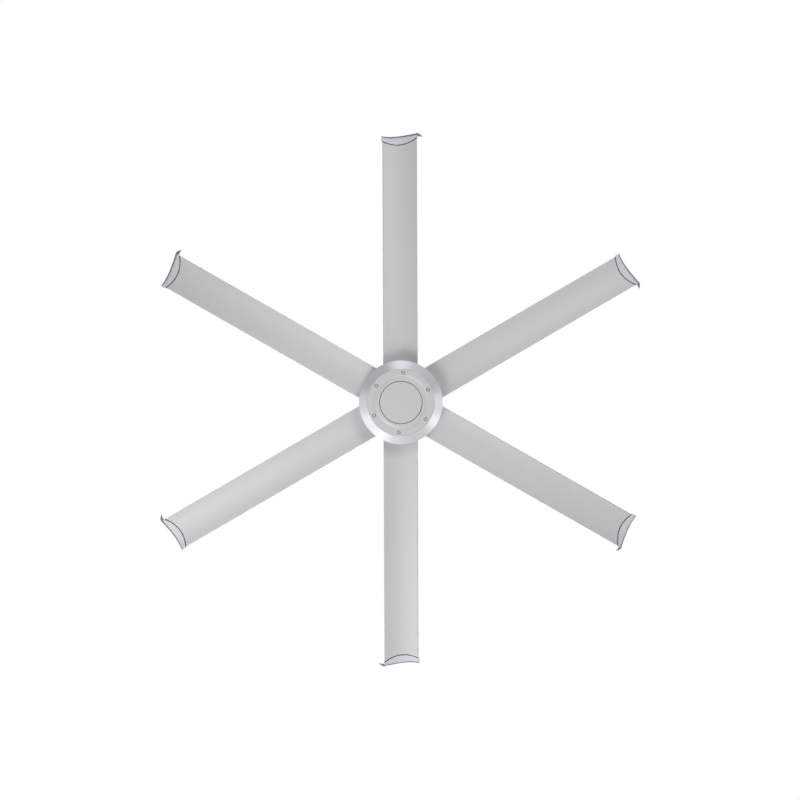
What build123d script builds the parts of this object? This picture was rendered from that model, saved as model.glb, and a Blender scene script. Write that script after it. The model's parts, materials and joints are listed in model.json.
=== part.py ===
from build123d import *
import os
from math import atan, cos, degrees, radians, sin, sqrt, tan

# Ceiling fan with six extruded blades, a direct drive motor and a ball hung downrod.
# Millimetres, +Z up. The origin is the centre of the bracket's face on the ceiling.

# Overall
sweep_diameter = 2147.0
blade_count = 6
first_blade_angle = 30.0
overrun = 5.0
press_gap = 0.05
close_gap = 0.1
seat_gap = 0.3

# Ceiling bracket and its socket for the ball
plate_edge_gap = 0.6
plate_thickness = 3.0
supply_hole_radius = 12.0
slot_spacing = 89.0
slot_length = 14.0
slot_width = 6.6
pivot_drop = 40.0
strap_width = 36.0
strap_thickness = 3.5
socket_wall = 4.9
socket_below_pivot = 22.0
socket_above_pivot = 3.0
socket_throat_radius = 25.6
entry_width = 30.0
tab_width = 16.0
tab_thickness = 2.5
tab_height = 18.0

# Ball, seat and rod
ball_radius = 26.0
ball_above_pivot = 14.0
ball_below_pivot = 22.0
seat_wall = 5.0
seat_above_pivot = 6.0
seat_below_pivot = 24.0
seat_throat_radius = 19.5
trunnion_radius = 2.5
trunnion_length = 3.2
ball_pin_radius = 3.0
ball_pin_inset = 2.3
ball_screw_radius = 2.5
ball_screw_rise = 8.0
ball_screw_inset = 3.0
rod_radius = 13.35
rod_wall = 2.9
rod_length = 236.0

# Canopy and what it hides
canopy_radius = 80.0
canopy_wall = 2.0
canopy_rim_height = 22.0
canopy_depth = 72.0
canopy_shoulder_radius = 62.0
canopy_shoulder_drop = 50.0
canopy_throat_room = 12.65
trim_wall = 3.0
trim_lip = 2.0
canopy_screw_radius = 2.0
canopy_screw_drop = 11.0
canopy_screw_length = 9.0
screw_head_radius_share = 2.0
screw_head_height_share = 1.3
receiver_length = 48.0
receiver_width = 22.0
receiver_height = 28.0
strap_clearance = 4.0
corner_radius = 2.0
terminal_length = 32.0
terminal_width = 14.0
terminal_height = 12.0
terminal_count = 3
terminal_hole_radius = 1.8
terminal_hole_depth = 6.0
earth_screw_radius = 2.5
earth_screw_circle = 60.0
earth_screw_angle = 150.0

# Coupling between rod and motor shaft
collar_wall = 7.5
collar_grip = 32.0
collar_web = 10.0
collar_flange_radius = 28.0
collar_flange_height = 5.0
clevis_radius = 4.0
clevis_rise = 12.0
clevis_head_radius = 7.0
clevis_head_height = 3.5
clevis_tail = 8.0
clip_wire_radius = 1.0
clip_reach = 7.0
grub_radius = 3.0
grub_rise = 23.0
grub_length = 7.0
cover_neck_radius = 17.0
cover_neck_height = 22.0
cover_mouth_radius = 44.0
cover_drop = 7.0
cover_wall = 2.0

# Motor shaft, bearings and stator
shaft_radius = 10.0
shaft_bore_radius = 6.5
bearing_radius = 23.5
bearing_width = 14.0
inner_race_wall = 4.0
outer_race_wall = 4.0
bearing_ball_radius = 3.9
bearing_ball_count = 9
bearing_lip = 2.0
bearing_lip_reach = 4.0
retaining_ring_wall = 4.0
retaining_ring_thickness = 2.0
retaining_groove_depth = 0.6
shaft_end_margin = 0.5
air_gap = 1.0
stack_height = 28.0
slot_count = 18
tooth_width = 9.0
slot_depth = 44.0
pole_shoe_height = 4.0
slot_mouth_width = 5.0
coil_side = 5.0
coil_overhang = 9.0
coil_end_gap = 1.0
lead_hole_radius = 6.0
lead_hole_count = 6
board_edge_inset = 10.0
board_width = 52.0
board_thickness = 1.6

# Rotor castings
hub_casting_thickness = 8.0
case_wall = 5.0
case_floor = 4.0
case_depth = 62.0
case_flange_height = 5.0
case_flange_width = 10.0
bearing_boss_wall = 6.0
magnet_thickness = 4.0
magnet_count = 20
magnet_spacing = 2.0
stator_rise = 17.0
case_screw_radius = 2.5
case_screw_length = 10.0
cradle_inner_radius = 62.0
cradle_end_wall = 4.0
cradle_half_width = 26.0
cradle_cheek = 4.0
spar_seat_rise = 7.0
face_post_radius = 5.0
face_post_inset = 3.0
face_post_height = 4.0
floor_window_radius = 11.0
floor_window_count = 6

# Hub shells and face
shell_wall = 2.5
shell_mouth_room = 6.0
shell_drop = 12.0
dome_rise = 24.0
dome_crown_drop = 1.6
rim_height = 17.5
rim_corner_radius = 6.0
shell_screw_circle = 62.0
shell_screw_radius = 2.5
shell_screw_length = 14.0
shell_post_radius = 6.0
shell_spot_radius = 6.5
shell_spot_depth = 0.9
shell_post_relief = 0.8
joint_lip_height = 5.0
blade_below_joint = 11.5
blade_slot_gap = 1.0
face_plate_gap = 0.4
face_plate_thickness = 5.0
ring_inner_radius = 130.0
chamfer_width = 33.6
ring_height = 20.0
ring_wall = 3.0
ring_flange_width = 8.0
ring_flange_thickness = 3.0
face_groove_inset = 29.4
face_groove_half_width = 7.4
face_groove_depth = 1.6
face_screw_inset = 14.0
face_screw_lead_angle = 4.6
face_screw_radius = 2.5
face_screw_head_radius = 5.6
face_screw_head_height = 2.6
face_screw_length = 10.0
face_counterbore_radius = 7.2
face_counterbore_depth = 2.9
hex_socket_radius = 1.9
hex_socket_depth = 1.6
cover_seat_inset = 46.4
cover_disc_gap = 2.0
cover_disc_thickness = 2.1
cover_ledge_width = 8.0
cover_ledge_thickness = 1.8
cover_snap_height = 4.0
cover_snap_wall = 1.8
face_edge_radius = 1.0

# Blades
blade_root_room = 8.0
blade_chord = 137.5
blade_pitch = 5.5
camber_height = 15.0
blade_thickness = 10.0
nose_radius = 3.5
tail_radius = 1.0
skin_thickness = 1.4
web_thickness = 1.6
spar_cell_width = 45.0
front_cell_inset = 9.0
rear_cell_inset = 15.0
spar_gap = 0.25
spar_outer_radius = 262.0
spar_bolt_radius = 4.0
spar_bolt_head_radius = 6.5
spar_bolt_head_height = 5.0
spar_bolt_depth = 22.0
spar_bolt_circle_shares = (0.24, 0.68)
blade_screw_radius = 2.0
blade_screw_length = 6.0
blade_screw_head_radius = 4.0
blade_screw_head_height = 2.5
blade_screw_inset = 8.0
blade_screw_spacing = 10.0

# Blade tips, whose outlines are given along the chord from the leading edge
seam_front_inset = 43.9
seam_middle_inset = 55.7
seam_rear_inset = 31.5
seam_gap = 1.8
seam_point_shares = (0.0, 0.25, 0.5, 0.75, 1.0)
tip_front_inset = 19.9
tip_middle_inset = 12.9
tip_front_overhang = 4.0
tip_rear_inset = 1.0
tip_step = 0.6
fin_thickness = 4.0
fin_lean = 24.0
fin_height = 44.0
fin_root_height = 2.0
fin_outer_bend = 9.0
fin_inner_bend = 5.0
fin_edge_round = 1.2
tail_length = 19.5
tail_bend = 18.5
tail_extra_lean = 7.5
tail_overlap = 5.0
tail_tip_height = 4.0
tail_tip_thickness = 2.2
tongue_length = 30.0
tongue_depth = 12.0
tip_screw_radius = 1.6
tip_screw_length = 5.0
tip_screw_head_radius = 3.0
tip_screw_head_height = 1.8
tip_screw_inset = 14.0
tip_section_shares = (0.0, 0.035, 0.12, 0.28, 0.46, 0.64, 0.82, 1.0)
tip_nose_share = 0.62
tail_rise_shares = (0.0, 0.03, 0.12, 0.32, 0.62)
tail_lean_shares = (0.0, 1.0, 0.85, 0.4, -1.0)

# Heights, from the ceiling down
pivot_z = -pivot_drop
rod_top_z = pivot_z + ball_above_pivot
rod_bottom_z = rod_top_z - rod_length
collar_top_z = rod_bottom_z + collar_grip
collar_bottom_z = rod_bottom_z - collar_web
cover_top_z = collar_top_z + cover_neck_height
cover_bottom_z = collar_bottom_z - cover_drop
shell_top_z = collar_bottom_z - shell_drop
rim_top_z = shell_top_z - dome_rise
shell_joint_z = rim_top_z - rim_height
blade_z = shell_joint_z - blade_below_joint
casting_top_z = blade_z - spar_seat_rise
casting_bottom_z = casting_top_z - hub_casting_thickness
case_bottom_z = casting_bottom_z - case_depth
plate_top_z = case_bottom_z - face_post_height
face_z = plate_top_z - face_plate_thickness
ring_top_z = face_z + ring_height
upper_bearing_z = casting_bottom_z + bearing_lip
lower_bearing_z = case_bottom_z
stack_bottom_z = case_bottom_z + stator_rise
stack_top_z = stack_bottom_z + stack_height
shaft_bottom_z = lower_bearing_z - retaining_ring_thickness - shaft_end_margin

# Radii that follow from the fits
seat_inner_radius = ball_radius + seat_gap
seat_outer_radius = seat_inner_radius + seat_wall
socket_radius = seat_outer_radius + seat_gap
socket_outer_radius = socket_radius + socket_wall
trunnion_end = seat_outer_radius + trunnion_length
strap_inner_x = trunnion_end + seat_gap
canopy_inner_radius = canopy_radius - canopy_wall
canopy_throat_radius = rod_radius + canopy_throat_room
plate_radius = canopy_inner_radius - plate_edge_gap
rod_bore_radius = rod_radius - rod_wall
collar_bore_radius = rod_radius + close_gap
collar_radius = collar_bore_radius + collar_wall
drum_radius = ring_inner_radius + chamfer_width
face_plate_radius = ring_inner_radius - face_plate_gap
face_screw_circle = ring_inner_radius - face_screw_inset
face_groove_circle = ring_inner_radius - face_groove_inset
cover_seat_radius = ring_inner_radius - cover_seat_inset
shell_mouth_radius = collar_flange_radius + shell_mouth_room
case_radius = face_screw_circle + face_post_inset
hub_casting_radius = case_radius + case_flange_width
blade_root_radius = hub_casting_radius + blade_root_room
case_inner_radius = case_radius - case_wall
magnet_inner_radius = case_inner_radius - magnet_thickness
stator_radius = magnet_inner_radius - air_gap
slot_inner_radius = stator_radius - pole_shoe_height - slot_depth
board_outer_radius = stator_radius - board_edge_inset
board_inner_radius = board_outer_radius - board_width
bearing_pitch_radius = (shaft_radius + inner_race_wall + bearing_radius - outer_race_wall) / 2
drum_inner_radius = drum_radius - shell_wall
spar_inner_radius = cradle_inner_radius + cradle_end_wall
tip_radius = sweep_diameter / 2
section_reach = camber_height + blade_thickness + overrun

BASE = (Align.CENTER, Align.CENTER, Align.MIN)
blade_angles = [first_blade_angle + index * 360 / blade_count for index in range(blade_count)]
gap_angles = [angle + 180 / blade_count for angle in blade_angles]


def disc(radius, bottom, top):
    """An upright cylinder on the Z axis between two heights."""
    return Pos(0, 0, bottom) * Cylinder(radius, top - bottom, align=BASE)


def tube(outer, inner, bottom, top):
    """An upright hollow cylinder between two heights."""
    return disc(outer, bottom, top) - disc(inner, bottom, top)


def post(radius, circle, angle, bottom, top):
    """An upright cylinder that stands on a circle about the Z axis."""
    return Rot(0, 0, angle) * Pos(circle, 0, bottom) * Cylinder(radius, top - bottom, align=BASE)


def along_x(radius, start, end, z, y=0):
    """A cylinder that lies along X."""
    return Pos(start, y, z) * Rot(0, 90, 0) * Cylinder(radius, end - start, align=BASE)


def along_y(radius, start, end, z, x=0):
    """A cylinder that lies along Y."""
    return Pos(x, start, z) * Rot(-90, 0, 0) * Cylinder(radius, end - start, align=BASE)


def block(x_range, y_range, z_range):
    """A box given by its three ranges."""
    sizes = [high - low for low, high in (x_range, y_range, z_range)]
    middles = [(high + low) / 2 for low, high in (x_range, y_range, z_range)]
    return Pos(*middles) * Box(*sizes)


def turned(*edges):
    """A solid turned about Z from edges drawn in the XZ plane."""
    return revolve(make_face(Curve() + list(edges)), Axis.Z)


def turned_points(*points):
    """A solid turned about Z from the corners of its profile."""
    return revolve(make_face(Polyline(*[(r, 0, z) for r, z in points], close=True)), Axis.Z)


def flat(r, z):
    """A profile point at a radius and a height."""
    return (r, 0, z)


def save(name, *shapes):
    """Writes the solids of one node."""
    solids = [solid for shape in shapes for solid in shape.solids()]
    whole = solids[0] if len(solids) == 1 else Compound(children=solids)
    export_step(whole, f"parts/{name}.step")


# Ceiling side


def hanger_bracket():
    """Round plate, two straps and the socket ring that the ball seat rocks in."""
    plate = disc(plate_radius, -plate_thickness, 0)
    plate -= disc(supply_hole_radius, -plate_thickness, 0)
    slot = extrude(SlotOverall(slot_length, slot_width, rotation=90), plate_thickness)
    for side in (-1, 1):
        plate -= Pos(0, side * slot_spacing / 2, -plate_thickness) * slot
    plate -= post(earth_screw_radius, earth_screw_circle, earth_screw_angle, -plate_thickness, 0)
    ring_bottom = pivot_z - socket_below_pivot
    ring_top = pivot_z + socket_above_pivot
    frame = disc(socket_outer_radius, ring_bottom, ring_top)
    for side in (-1, 1):
        reach = sorted((side * strap_inner_x, side * (strap_inner_x + strap_thickness)))
        frame += block(reach, (-strap_width / 2, strap_width / 2), (ring_bottom, -plate_thickness))
    frame -= Pos(0, 0, pivot_z) * Sphere(socket_radius)
    frame -= disc(socket_radius, pivot_z, ring_top)
    frame -= disc(socket_throat_radius, ring_bottom, pivot_z)
    entry = (-entry_width / 2, entry_width / 2)
    frame -= block(entry, (-socket_outer_radius - overrun, 0), (ring_bottom, ring_top))
    notch = trunnion_radius + seat_gap
    frame -= along_x(notch, -strap_inner_x, strap_inner_x, pivot_z)
    frame -= block((-strap_inner_x, strap_inner_x), (-notch, notch), (pivot_z, ring_top))
    bracket = plate + frame
    for angle in canopy_screw_angles():
        tab = block(tab_x_range(), (-tab_width / 2, tab_width / 2), (-tab_height, -plate_thickness / 2))
        tab -= along_x(canopy_screw_radius, tab_x_range()[0], tab_x_range()[1], -canopy_screw_drop)
        bracket += Rot(0, 0, angle) * tab
    return bracket


def canopy_screw_angles():
    """Four directions between the slots and the straps."""
    return (45, 135, 225, 315)


def tab_x_range():
    """The screw tabs stand just inside the canopy's rim."""
    outer = sqrt((canopy_inner_radius - seat_gap) ** 2 - (tab_width / 2) ** 2)
    return (outer - tab_thickness, outer)


def canopy_profile(inset):
    """The canopy's outline, drawn in from its outside by an inset."""
    rim = canopy_radius - inset
    shoulder = (canopy_shoulder_radius - inset, -canopy_shoulder_drop + inset)
    bottom = -canopy_depth + inset
    return rim, shoulder, bottom


def canopy():
    """Spun cover, open to the ceiling, with a round throat for the rod."""
    rim, shoulder, bottom = canopy_profile(0)
    inner_rim, inner_shoulder, inner_bottom = canopy_profile(canopy_wall)
    throat = canopy_throat_radius
    shell = turned(
        Line(flat(rim, 0), flat(rim, -canopy_rim_height)),
        ThreePointArc(flat(rim, -canopy_rim_height), flat(*shoulder), flat(throat + trim_wall, bottom)),
        Line(flat(throat + trim_wall, bottom), flat(throat, bottom)),
        Line(flat(throat, bottom), flat(throat, inner_bottom)),
        Line(flat(throat, inner_bottom), flat(throat + trim_wall, inner_bottom)),
        ThreePointArc(
            flat(throat + trim_wall, inner_bottom),
            flat(*inner_shoulder),
            flat(inner_rim, -canopy_rim_height),
        ),
        Line(flat(inner_rim, -canopy_rim_height), flat(inner_rim, 0)),
        Line(flat(inner_rim, 0), flat(rim, 0)),
    )
    for angle in canopy_screw_angles():
        hole = along_x(
            canopy_screw_radius + close_gap, inner_rim - overrun, rim + overrun, -canopy_screw_drop
        )
        shell -= Rot(0, 0, angle) * hole
    return shell


def canopy_trim():
    """Rubber ring that grips the canopy's throat and keeps the rod off it."""
    outer = canopy_throat_radius - close_gap
    inner = outer - trim_wall
    bottom = -canopy_depth - trim_lip
    top = -canopy_depth + canopy_wall + trim_lip
    lip = outer + trim_lip
    ring = tube(outer, inner, bottom, top)
    ring += tube(lip, inner, bottom, -canopy_depth)
    ring += tube(lip, inner, -canopy_depth + canopy_wall, top)
    return ring


def canopy_screw(angle):
    """Pan headed screw through the canopy's rim into a tab."""
    head_radius = canopy_screw_radius * screw_head_radius_share
    head_height = canopy_screw_radius * screw_head_height_share
    head = along_x(head_radius, canopy_radius, canopy_radius + head_height, -canopy_screw_drop)
    head = fillet(head.edges().filter_by(GeomType.CIRCLE).sort_by(Axis.X)[-1], canopy_screw_radius / 2)
    shank = along_x(
        canopy_screw_radius - press_gap,
        canopy_radius - canopy_screw_length,
        canopy_radius + press_gap,
        -canopy_screw_drop,
    )
    return Rot(0, 0, angle) * (head + shank)


def receiver_box():
    """Drive electronics in a moulded box against the plate, beside one strap."""
    start = strap_inner_x + strap_thickness + strap_clearance
    box = block(
        (start, start + receiver_width),
        (-receiver_length / 2, receiver_length / 2),
        (-plate_thickness - receiver_height, -plate_thickness),
    )
    return fillet(box.edges().filter_by(Axis.Z), corner_radius)


def terminal_block():
    """Supply terminals against the plate, beside the other strap."""
    start = -(strap_inner_x + strap_thickness + strap_clearance)
    middle = start - terminal_width / 2
    bottom = -plate_thickness - terminal_height
    body = block(
        (start - terminal_width, start),
        (-terminal_length / 2, terminal_length / 2),
        (bottom, -plate_thickness),
    )
    pitch = terminal_length / terminal_count
    for index in range(terminal_count):
        y = (index - (terminal_count - 1) / 2) * pitch
        well = Pos(middle, y, bottom) * Cylinder(terminal_hole_radius, terminal_hole_depth, align=BASE)
        body -= well
    return body


def earth_screw():
    """Screw for the earth wire, up through the plate."""
    head_radius = earth_screw_radius * screw_head_radius_share
    head_height = earth_screw_radius * screw_head_height_share
    low = -plate_thickness
    head = post(head_radius, earth_screw_circle, earth_screw_angle, low - head_height, low)
    shank_radius = earth_screw_radius - press_gap
    shank = post(shank_radius, earth_screw_circle, earth_screw_angle, low - press_gap, 0)
    return head + shank


# Ball joint


def ball_seat():
    """Nylon liner: a ball cup with two trunnions along X and two notches along Y."""
    top = pivot_z + seat_above_pivot
    bottom = pivot_z - seat_below_pivot
    seat = Pos(0, 0, pivot_z) * Sphere(seat_outer_radius)
    seat &= disc(seat_outer_radius + overrun, bottom, top)
    for side in (-1, 1):
        start, end = sorted((side * (seat_inner_radius + seat_wall / 2), side * trunnion_end))
        seat += along_x(trunnion_radius, start, end, pivot_z)
    seat -= Pos(0, 0, pivot_z) * Sphere(seat_inner_radius)
    seat -= disc(seat_inner_radius, pivot_z, top)
    seat -= disc(seat_throat_radius, bottom, pivot_z)
    notch = ball_pin_radius + seat_gap
    reach = seat_outer_radius + overrun
    seat -= along_y(notch, -reach, reach, pivot_z)
    seat -= block((-notch, notch), (-reach, reach), (pivot_z, top))
    return seat


def hanger_ball():
    """Ball with flats top and bottom, bored for the rod, the pin and a clamp screw."""
    ball = Pos(0, 0, pivot_z) * Sphere(ball_radius)
    ball &= disc(ball_radius, pivot_z - ball_below_pivot, rod_top_z)
    ball -= disc(rod_radius + close_gap, pivot_z - ball_radius, rod_top_z)
    ball -= along_y(ball_pin_radius + close_gap, -ball_radius, ball_radius, pivot_z)
    ball -= along_x(ball_screw_radius + press_gap, 0, ball_radius, pivot_z + ball_screw_rise)
    return ball


def ball_pin():
    """Cross pin whose ends lie in the seat's notches."""
    half = seat_outer_radius - ball_pin_inset
    return along_y(ball_pin_radius, -half, half, pivot_z)


def ball_screw():
    """Grub screw that clamps the ball on the rod."""
    end = ball_radius - ball_screw_inset
    screw = along_x(ball_screw_radius, rod_radius + press_gap, end, pivot_z + ball_screw_rise)
    socket = along_x(hex_socket_radius, end - hex_socket_depth, end, pivot_z + ball_screw_rise)
    return screw - socket


def downrod():
    """Steel tube with a cross hole at each end."""
    rod = tube(rod_radius, rod_bore_radius, rod_bottom_z, rod_top_z)
    rod -= along_y(ball_pin_radius + close_gap, -rod_radius, rod_radius, pivot_z)
    rod -= along_x(clevis_radius + close_gap, -rod_radius, rod_radius, rod_bottom_z + clevis_rise)
    return rod


# Coupling


def motor_coupling():
    """Cast collar: the rod pins in from above, the shaft is pressed in from below."""
    collar = disc(collar_radius, collar_bottom_z, collar_top_z)
    collar += disc(collar_flange_radius, collar_bottom_z, collar_bottom_z + collar_flange_height)
    collar -= disc(collar_bore_radius, rod_bottom_z, collar_top_z)
    collar -= disc(shaft_radius + press_gap, collar_bottom_z, rod_bottom_z)
    clevis_z = rod_bottom_z + clevis_rise
    collar -= along_x(clevis_radius + close_gap, -collar_radius, collar_radius, clevis_z)
    grub_z = rod_bottom_z + grub_rise
    collar -= along_y(grub_radius + press_gap, -collar_radius, collar_radius, grub_z)
    return collar


def clevis_pin():
    """Headed pin through collar and rod, cross drilled for its clip."""
    z = rod_bottom_z + clevis_rise
    start = -collar_radius - press_gap
    end = collar_radius + clevis_tail
    pin = along_x(clevis_radius, start, end, z)
    pin += along_x(clevis_head_radius, start - clevis_head_height, start, z)
    pin -= along_y(clip_wire_radius + close_gap, -clevis_radius, clevis_radius, z, clip_x())
    return pin


def clip_x():
    """The clip sits half way along the pin's tail."""
    return collar_radius + clevis_tail / 2


def pin_clip():
    """Hairpin clip: one leg goes through the pin, the other hugs it."""
    x = clip_x()
    z = rod_bottom_z + clevis_rise
    rise = clevis_radius + clip_wire_radius + press_gap
    bend = rise / 2
    path = Curve() + [
        Line((x, -clip_reach, z), (x, clip_reach, z)),
        ThreePointArc((x, clip_reach, z), (x, clip_reach + bend, z + bend), (x, clip_reach, z + rise)),
        Line((x, clip_reach, z + rise), (x, -clip_reach, z + rise)),
    ]
    section = Plane(origin=(x, -clip_reach, z), z_dir=(0, 1, 0)) * Circle(clip_wire_radius)
    return sweep(section, path=path)


def coupling_screws():
    """Two grub screws that steady the rod in its collar."""
    z = rod_bottom_z + grub_rise
    screws = []
    for side in (-1, 1):
        start, end = sorted((side * (rod_radius + press_gap), side * (rod_radius + grub_length)))
        screws.append(along_y(grub_radius, start, end, z))
    return screws


def coupling_cover():
    """Conical bell over the coupling, whose neck stands on the collar."""
    neck_inner = rod_radius + seat_gap
    neck_bottom = collar_top_z + close_gap
    return turned_points(
        (neck_inner, cover_top_z),
        (cover_neck_radius, cover_top_z),
        (cover_mouth_radius, cover_bottom_z),
        (cover_mouth_radius - cover_wall, cover_bottom_z),
        (collar_radius + cover_wall, neck_bottom),
        (neck_inner, neck_bottom),
    )


# Motor, standing parts


def motor_shaft():
    """Hollow shaft that doesn't turn, with grooves for two retaining rings."""
    shaft = tube(shaft_radius, shaft_bore_radius, shaft_bottom_z, rod_bottom_z - press_gap)
    for low in retaining_ring_heights():
        high = low + retaining_ring_thickness
        shaft -= tube(shaft_radius + overrun, shaft_radius - retaining_groove_depth, low, high)
    return shaft


def retaining_ring_heights():
    """One ring above the upper bearing and one below the lower bearing."""
    return (upper_bearing_z + bearing_width, lower_bearing_z - retaining_ring_thickness)


def shaft_rings():
    """Split rings that hold the bearings on the shaft."""
    rings = []
    outer = shaft_radius + retaining_ring_wall
    half_split = retaining_ring_wall / 2
    for low in retaining_ring_heights():
        high = low + retaining_ring_thickness
        ring = tube(outer, shaft_radius - retaining_groove_depth, low, high)
        ring -= block((0, outer), (-half_split, half_split), (low, high))
        rings.append(ring)
    return rings


def bearing_heights():
    """The bottoms of the two bearings."""
    return (upper_bearing_z, lower_bearing_z)


def race_groove(z):
    """The ball track that both races share."""
    return Pos(0, 0, z + bearing_width / 2) * Torus(bearing_pitch_radius, bearing_ball_radius + press_gap)


def bearing_inner_races():
    """Inner races on the standing shaft."""
    outer = shaft_radius + inner_race_wall
    return [tube(outer, shaft_radius, z, z + bearing_width) - race_groove(z) for z in bearing_heights()]


def bearing_outer_races():
    """Outer races that turn with the rotor."""
    inner = bearing_radius - outer_race_wall
    return [tube(bearing_radius, inner, z, z + bearing_width) - race_groove(z) for z in bearing_heights()]


def bearing_balls():
    """Both rows of balls."""
    balls = []
    for z in bearing_heights():
        for index in range(bearing_ball_count):
            angle = index * 360 / bearing_ball_count
            place = Rot(0, 0, angle) * Pos(bearing_pitch_radius, 0, z + bearing_width / 2)
            balls.append(place * Sphere(bearing_ball_radius))
    return balls


def slot_angles():
    """Directions of the teeth."""
    return [index * 360 / slot_count for index in range(slot_count)]


def stator_core():
    """Laminated stack with one tooth for each coil."""
    core = tube(stator_radius, shaft_radius, stack_bottom_z, stack_top_z)
    slot_outer = stator_radius - pole_shoe_height
    wedge_half_angle = 180 / slot_count
    window = tube(slot_outer, slot_inner_radius, stack_bottom_z, stack_top_z)
    for angle in slot_angles():
        window -= Rot(0, 0, angle) * block(
            (0, stator_radius), (-tooth_width / 2, tooth_width / 2), (stack_bottom_z, stack_top_z)
        )
        mouth = block(
            (slot_outer - overrun, stator_radius + overrun),
            (-slot_mouth_width / 2, slot_mouth_width / 2),
            (stack_bottom_z, stack_top_z),
        )
        window += Rot(0, 0, angle + wedge_half_angle) * mouth
    core -= window
    for index in range(lead_hole_count):
        middle = (shaft_radius + slot_inner_radius) / 2
        angle = index * 360 / lead_hole_count
        core -= post(lead_hole_radius, middle, angle, stack_bottom_z, stack_top_z)
    return core


def stator_windings():
    """One coil round each tooth."""
    inner = slot_inner_radius + coil_end_gap
    outer = stator_radius - pole_shoe_height - coil_end_gap
    low = stack_bottom_z - coil_overhang
    high = stack_top_z + coil_overhang
    half = tooth_width / 2 + close_gap
    coils = []
    for angle in slot_angles():
        coil = block((inner, outer), (-half - coil_side, half + coil_side), (low, high))
        coil = fillet(coil.edges().filter_by(Axis.X), coil_side)
        coil -= block((inner, outer), (-half, half), (stack_bottom_z - close_gap, stack_top_z + close_gap))
        for side in (-1, 1):
            beyond = sorted((0, side * stator_radius))
            neighbour = block((0, stator_radius), beyond, (low, high))
            coil -= Rot(0, 0, side * 180 / slot_count) * neighbour
        coils.append(Rot(0, 0, angle) * coil)
    return coils


def sensor_board():
    """Ring board that lies just above the coils."""
    low = stack_top_z + coil_overhang + seat_gap
    return tube(board_outer_radius, board_inner_radius, low, low + board_thickness)


# Rotor castings


def bearing_pocket(bottom, top):
    """The bore that a bearing's outer race is pressed into."""
    return disc(bearing_radius, bottom, top)


def hub_casting_boss_radius():
    """Outside of the metal round a bearing."""
    return bearing_radius + bearing_boss_wall


def rotor_hub():
    """Casting with the upper bearing, six spar cradles and six posts for the upper shell."""
    boss_top = upper_bearing_z + bearing_width
    hub = disc(hub_casting_radius, casting_bottom_z, casting_top_z)
    hub += disc(hub_casting_boss_radius(), casting_bottom_z, boss_top)
    cheek_top = blade_z + camber_height + cradle_cheek
    for angle in blade_angles:
        cradle = block(
            (cradle_inner_radius, hub_casting_radius),
            (-cradle_half_width, cradle_half_width),
            (casting_bottom_z, cheek_top),
        )
        hub += Rot(0, 0, angle) * cradle
    hub &= disc(hub_casting_radius, casting_bottom_z, shell_top_z)
    hub -= disc(bearing_radius - bearing_lip_reach, casting_bottom_z, casting_top_z)
    hub -= bearing_pocket(upper_bearing_z, boss_top)
    relief = spar_prism(close_gap, spar_inner_radius - spar_gap, hub_casting_radius + overrun)
    clear = block(
        (spar_inner_radius - spar_gap, hub_casting_radius + overrun),
        (-spar_half_width(close_gap), spar_half_width(close_gap)),
        (camber_height, section_reach),
    )
    for angle in blade_angles:
        hub -= on_blade(relief + clear, angle)
        for bolt_x in spar_bolt_places():
            hub -= on_blade(spar_bolt_shank(bolt_x, press_gap), angle)
    for angle in gap_angles:
        hub += post(shell_post_radius, shell_screw_circle, angle, casting_bottom_z, shell_post_top())
        hub -= post(
            shell_screw_radius + press_gap,
            shell_screw_circle,
            angle,
            shell_post_top() - shell_screw_length,
            shell_post_top(),
        )
        hub -= post(
            case_screw_radius + press_gap, case_screw_circle(), angle, casting_bottom_z, casting_screw_top()
        )
    return hub


def shell_post_top():
    """The posts end just under the dome."""
    return dome_height(shell_wall) - shell_post_relief


def dome_height(inset):
    """Height of the dome over the circle of shell screws."""
    return shell_top_z - dome_crown_drop - inset


def case_screw_circle():
    """The case's screws stand in its flange."""
    return (case_radius + hub_casting_radius) / 2


def casting_screw_top():
    """How far up the case's screws reach."""
    return casting_bottom_z - case_flange_height + case_screw_length


def rotor_case():
    """Cup with the magnets, the lower bearing and the posts for the face screws."""
    case = disc(case_radius, case_bottom_z, casting_bottom_z)
    case += disc(hub_casting_radius, casting_bottom_z - case_flange_height, casting_bottom_z)
    case -= disc(case_inner_radius, case_bottom_z + case_floor, casting_bottom_z)
    boss_top = lower_bearing_z + bearing_width + bearing_lip
    case += disc(hub_casting_boss_radius(), case_bottom_z, boss_top)
    case -= disc(bearing_radius - bearing_lip_reach, case_bottom_z, boss_top)
    case -= bearing_pocket(case_bottom_z, lower_bearing_z + bearing_width)
    for angle in gap_angles:
        low = casting_bottom_z - case_flange_height
        case -= post(case_screw_radius + press_gap, case_screw_circle(), angle, low, casting_bottom_z)
    for index in range(floor_window_count):
        middle = (hub_casting_boss_radius() + case_inner_radius) / 2
        angle = index * 360 / floor_window_count
        case -= post(floor_window_radius, middle, angle, case_bottom_z, case_bottom_z + case_floor)
    for angle in face_screw_angles():
        case += post(face_post_radius, face_screw_circle, angle, plate_top_z, case_bottom_z)
        case -= post(
            face_screw_radius + press_gap, face_screw_circle, angle, plate_top_z, face_screw_top()
        )
    return case


def face_screw_angles():
    """Each face screw stands a little to the trailing side of its blade."""
    return [angle + face_screw_lead_angle for angle in blade_angles]


def face_screw_top():
    """How far up the face screws reach."""
    return face_z + face_counterbore_depth + face_screw_length - face_screw_head_height


def rotor_magnets():
    """Curved blocks on the cup's inner wall."""
    low = stack_bottom_z
    high = stack_top_z
    ring = tube(case_inner_radius, magnet_inner_radius, low, high)
    for index in range(magnet_count):
        angle = index * 360 / magnet_count
        cut = block((0, case_radius), (-magnet_spacing / 2, magnet_spacing / 2), (low, high))
        ring -= Rot(0, 0, angle) * cut
    return ring


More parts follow.
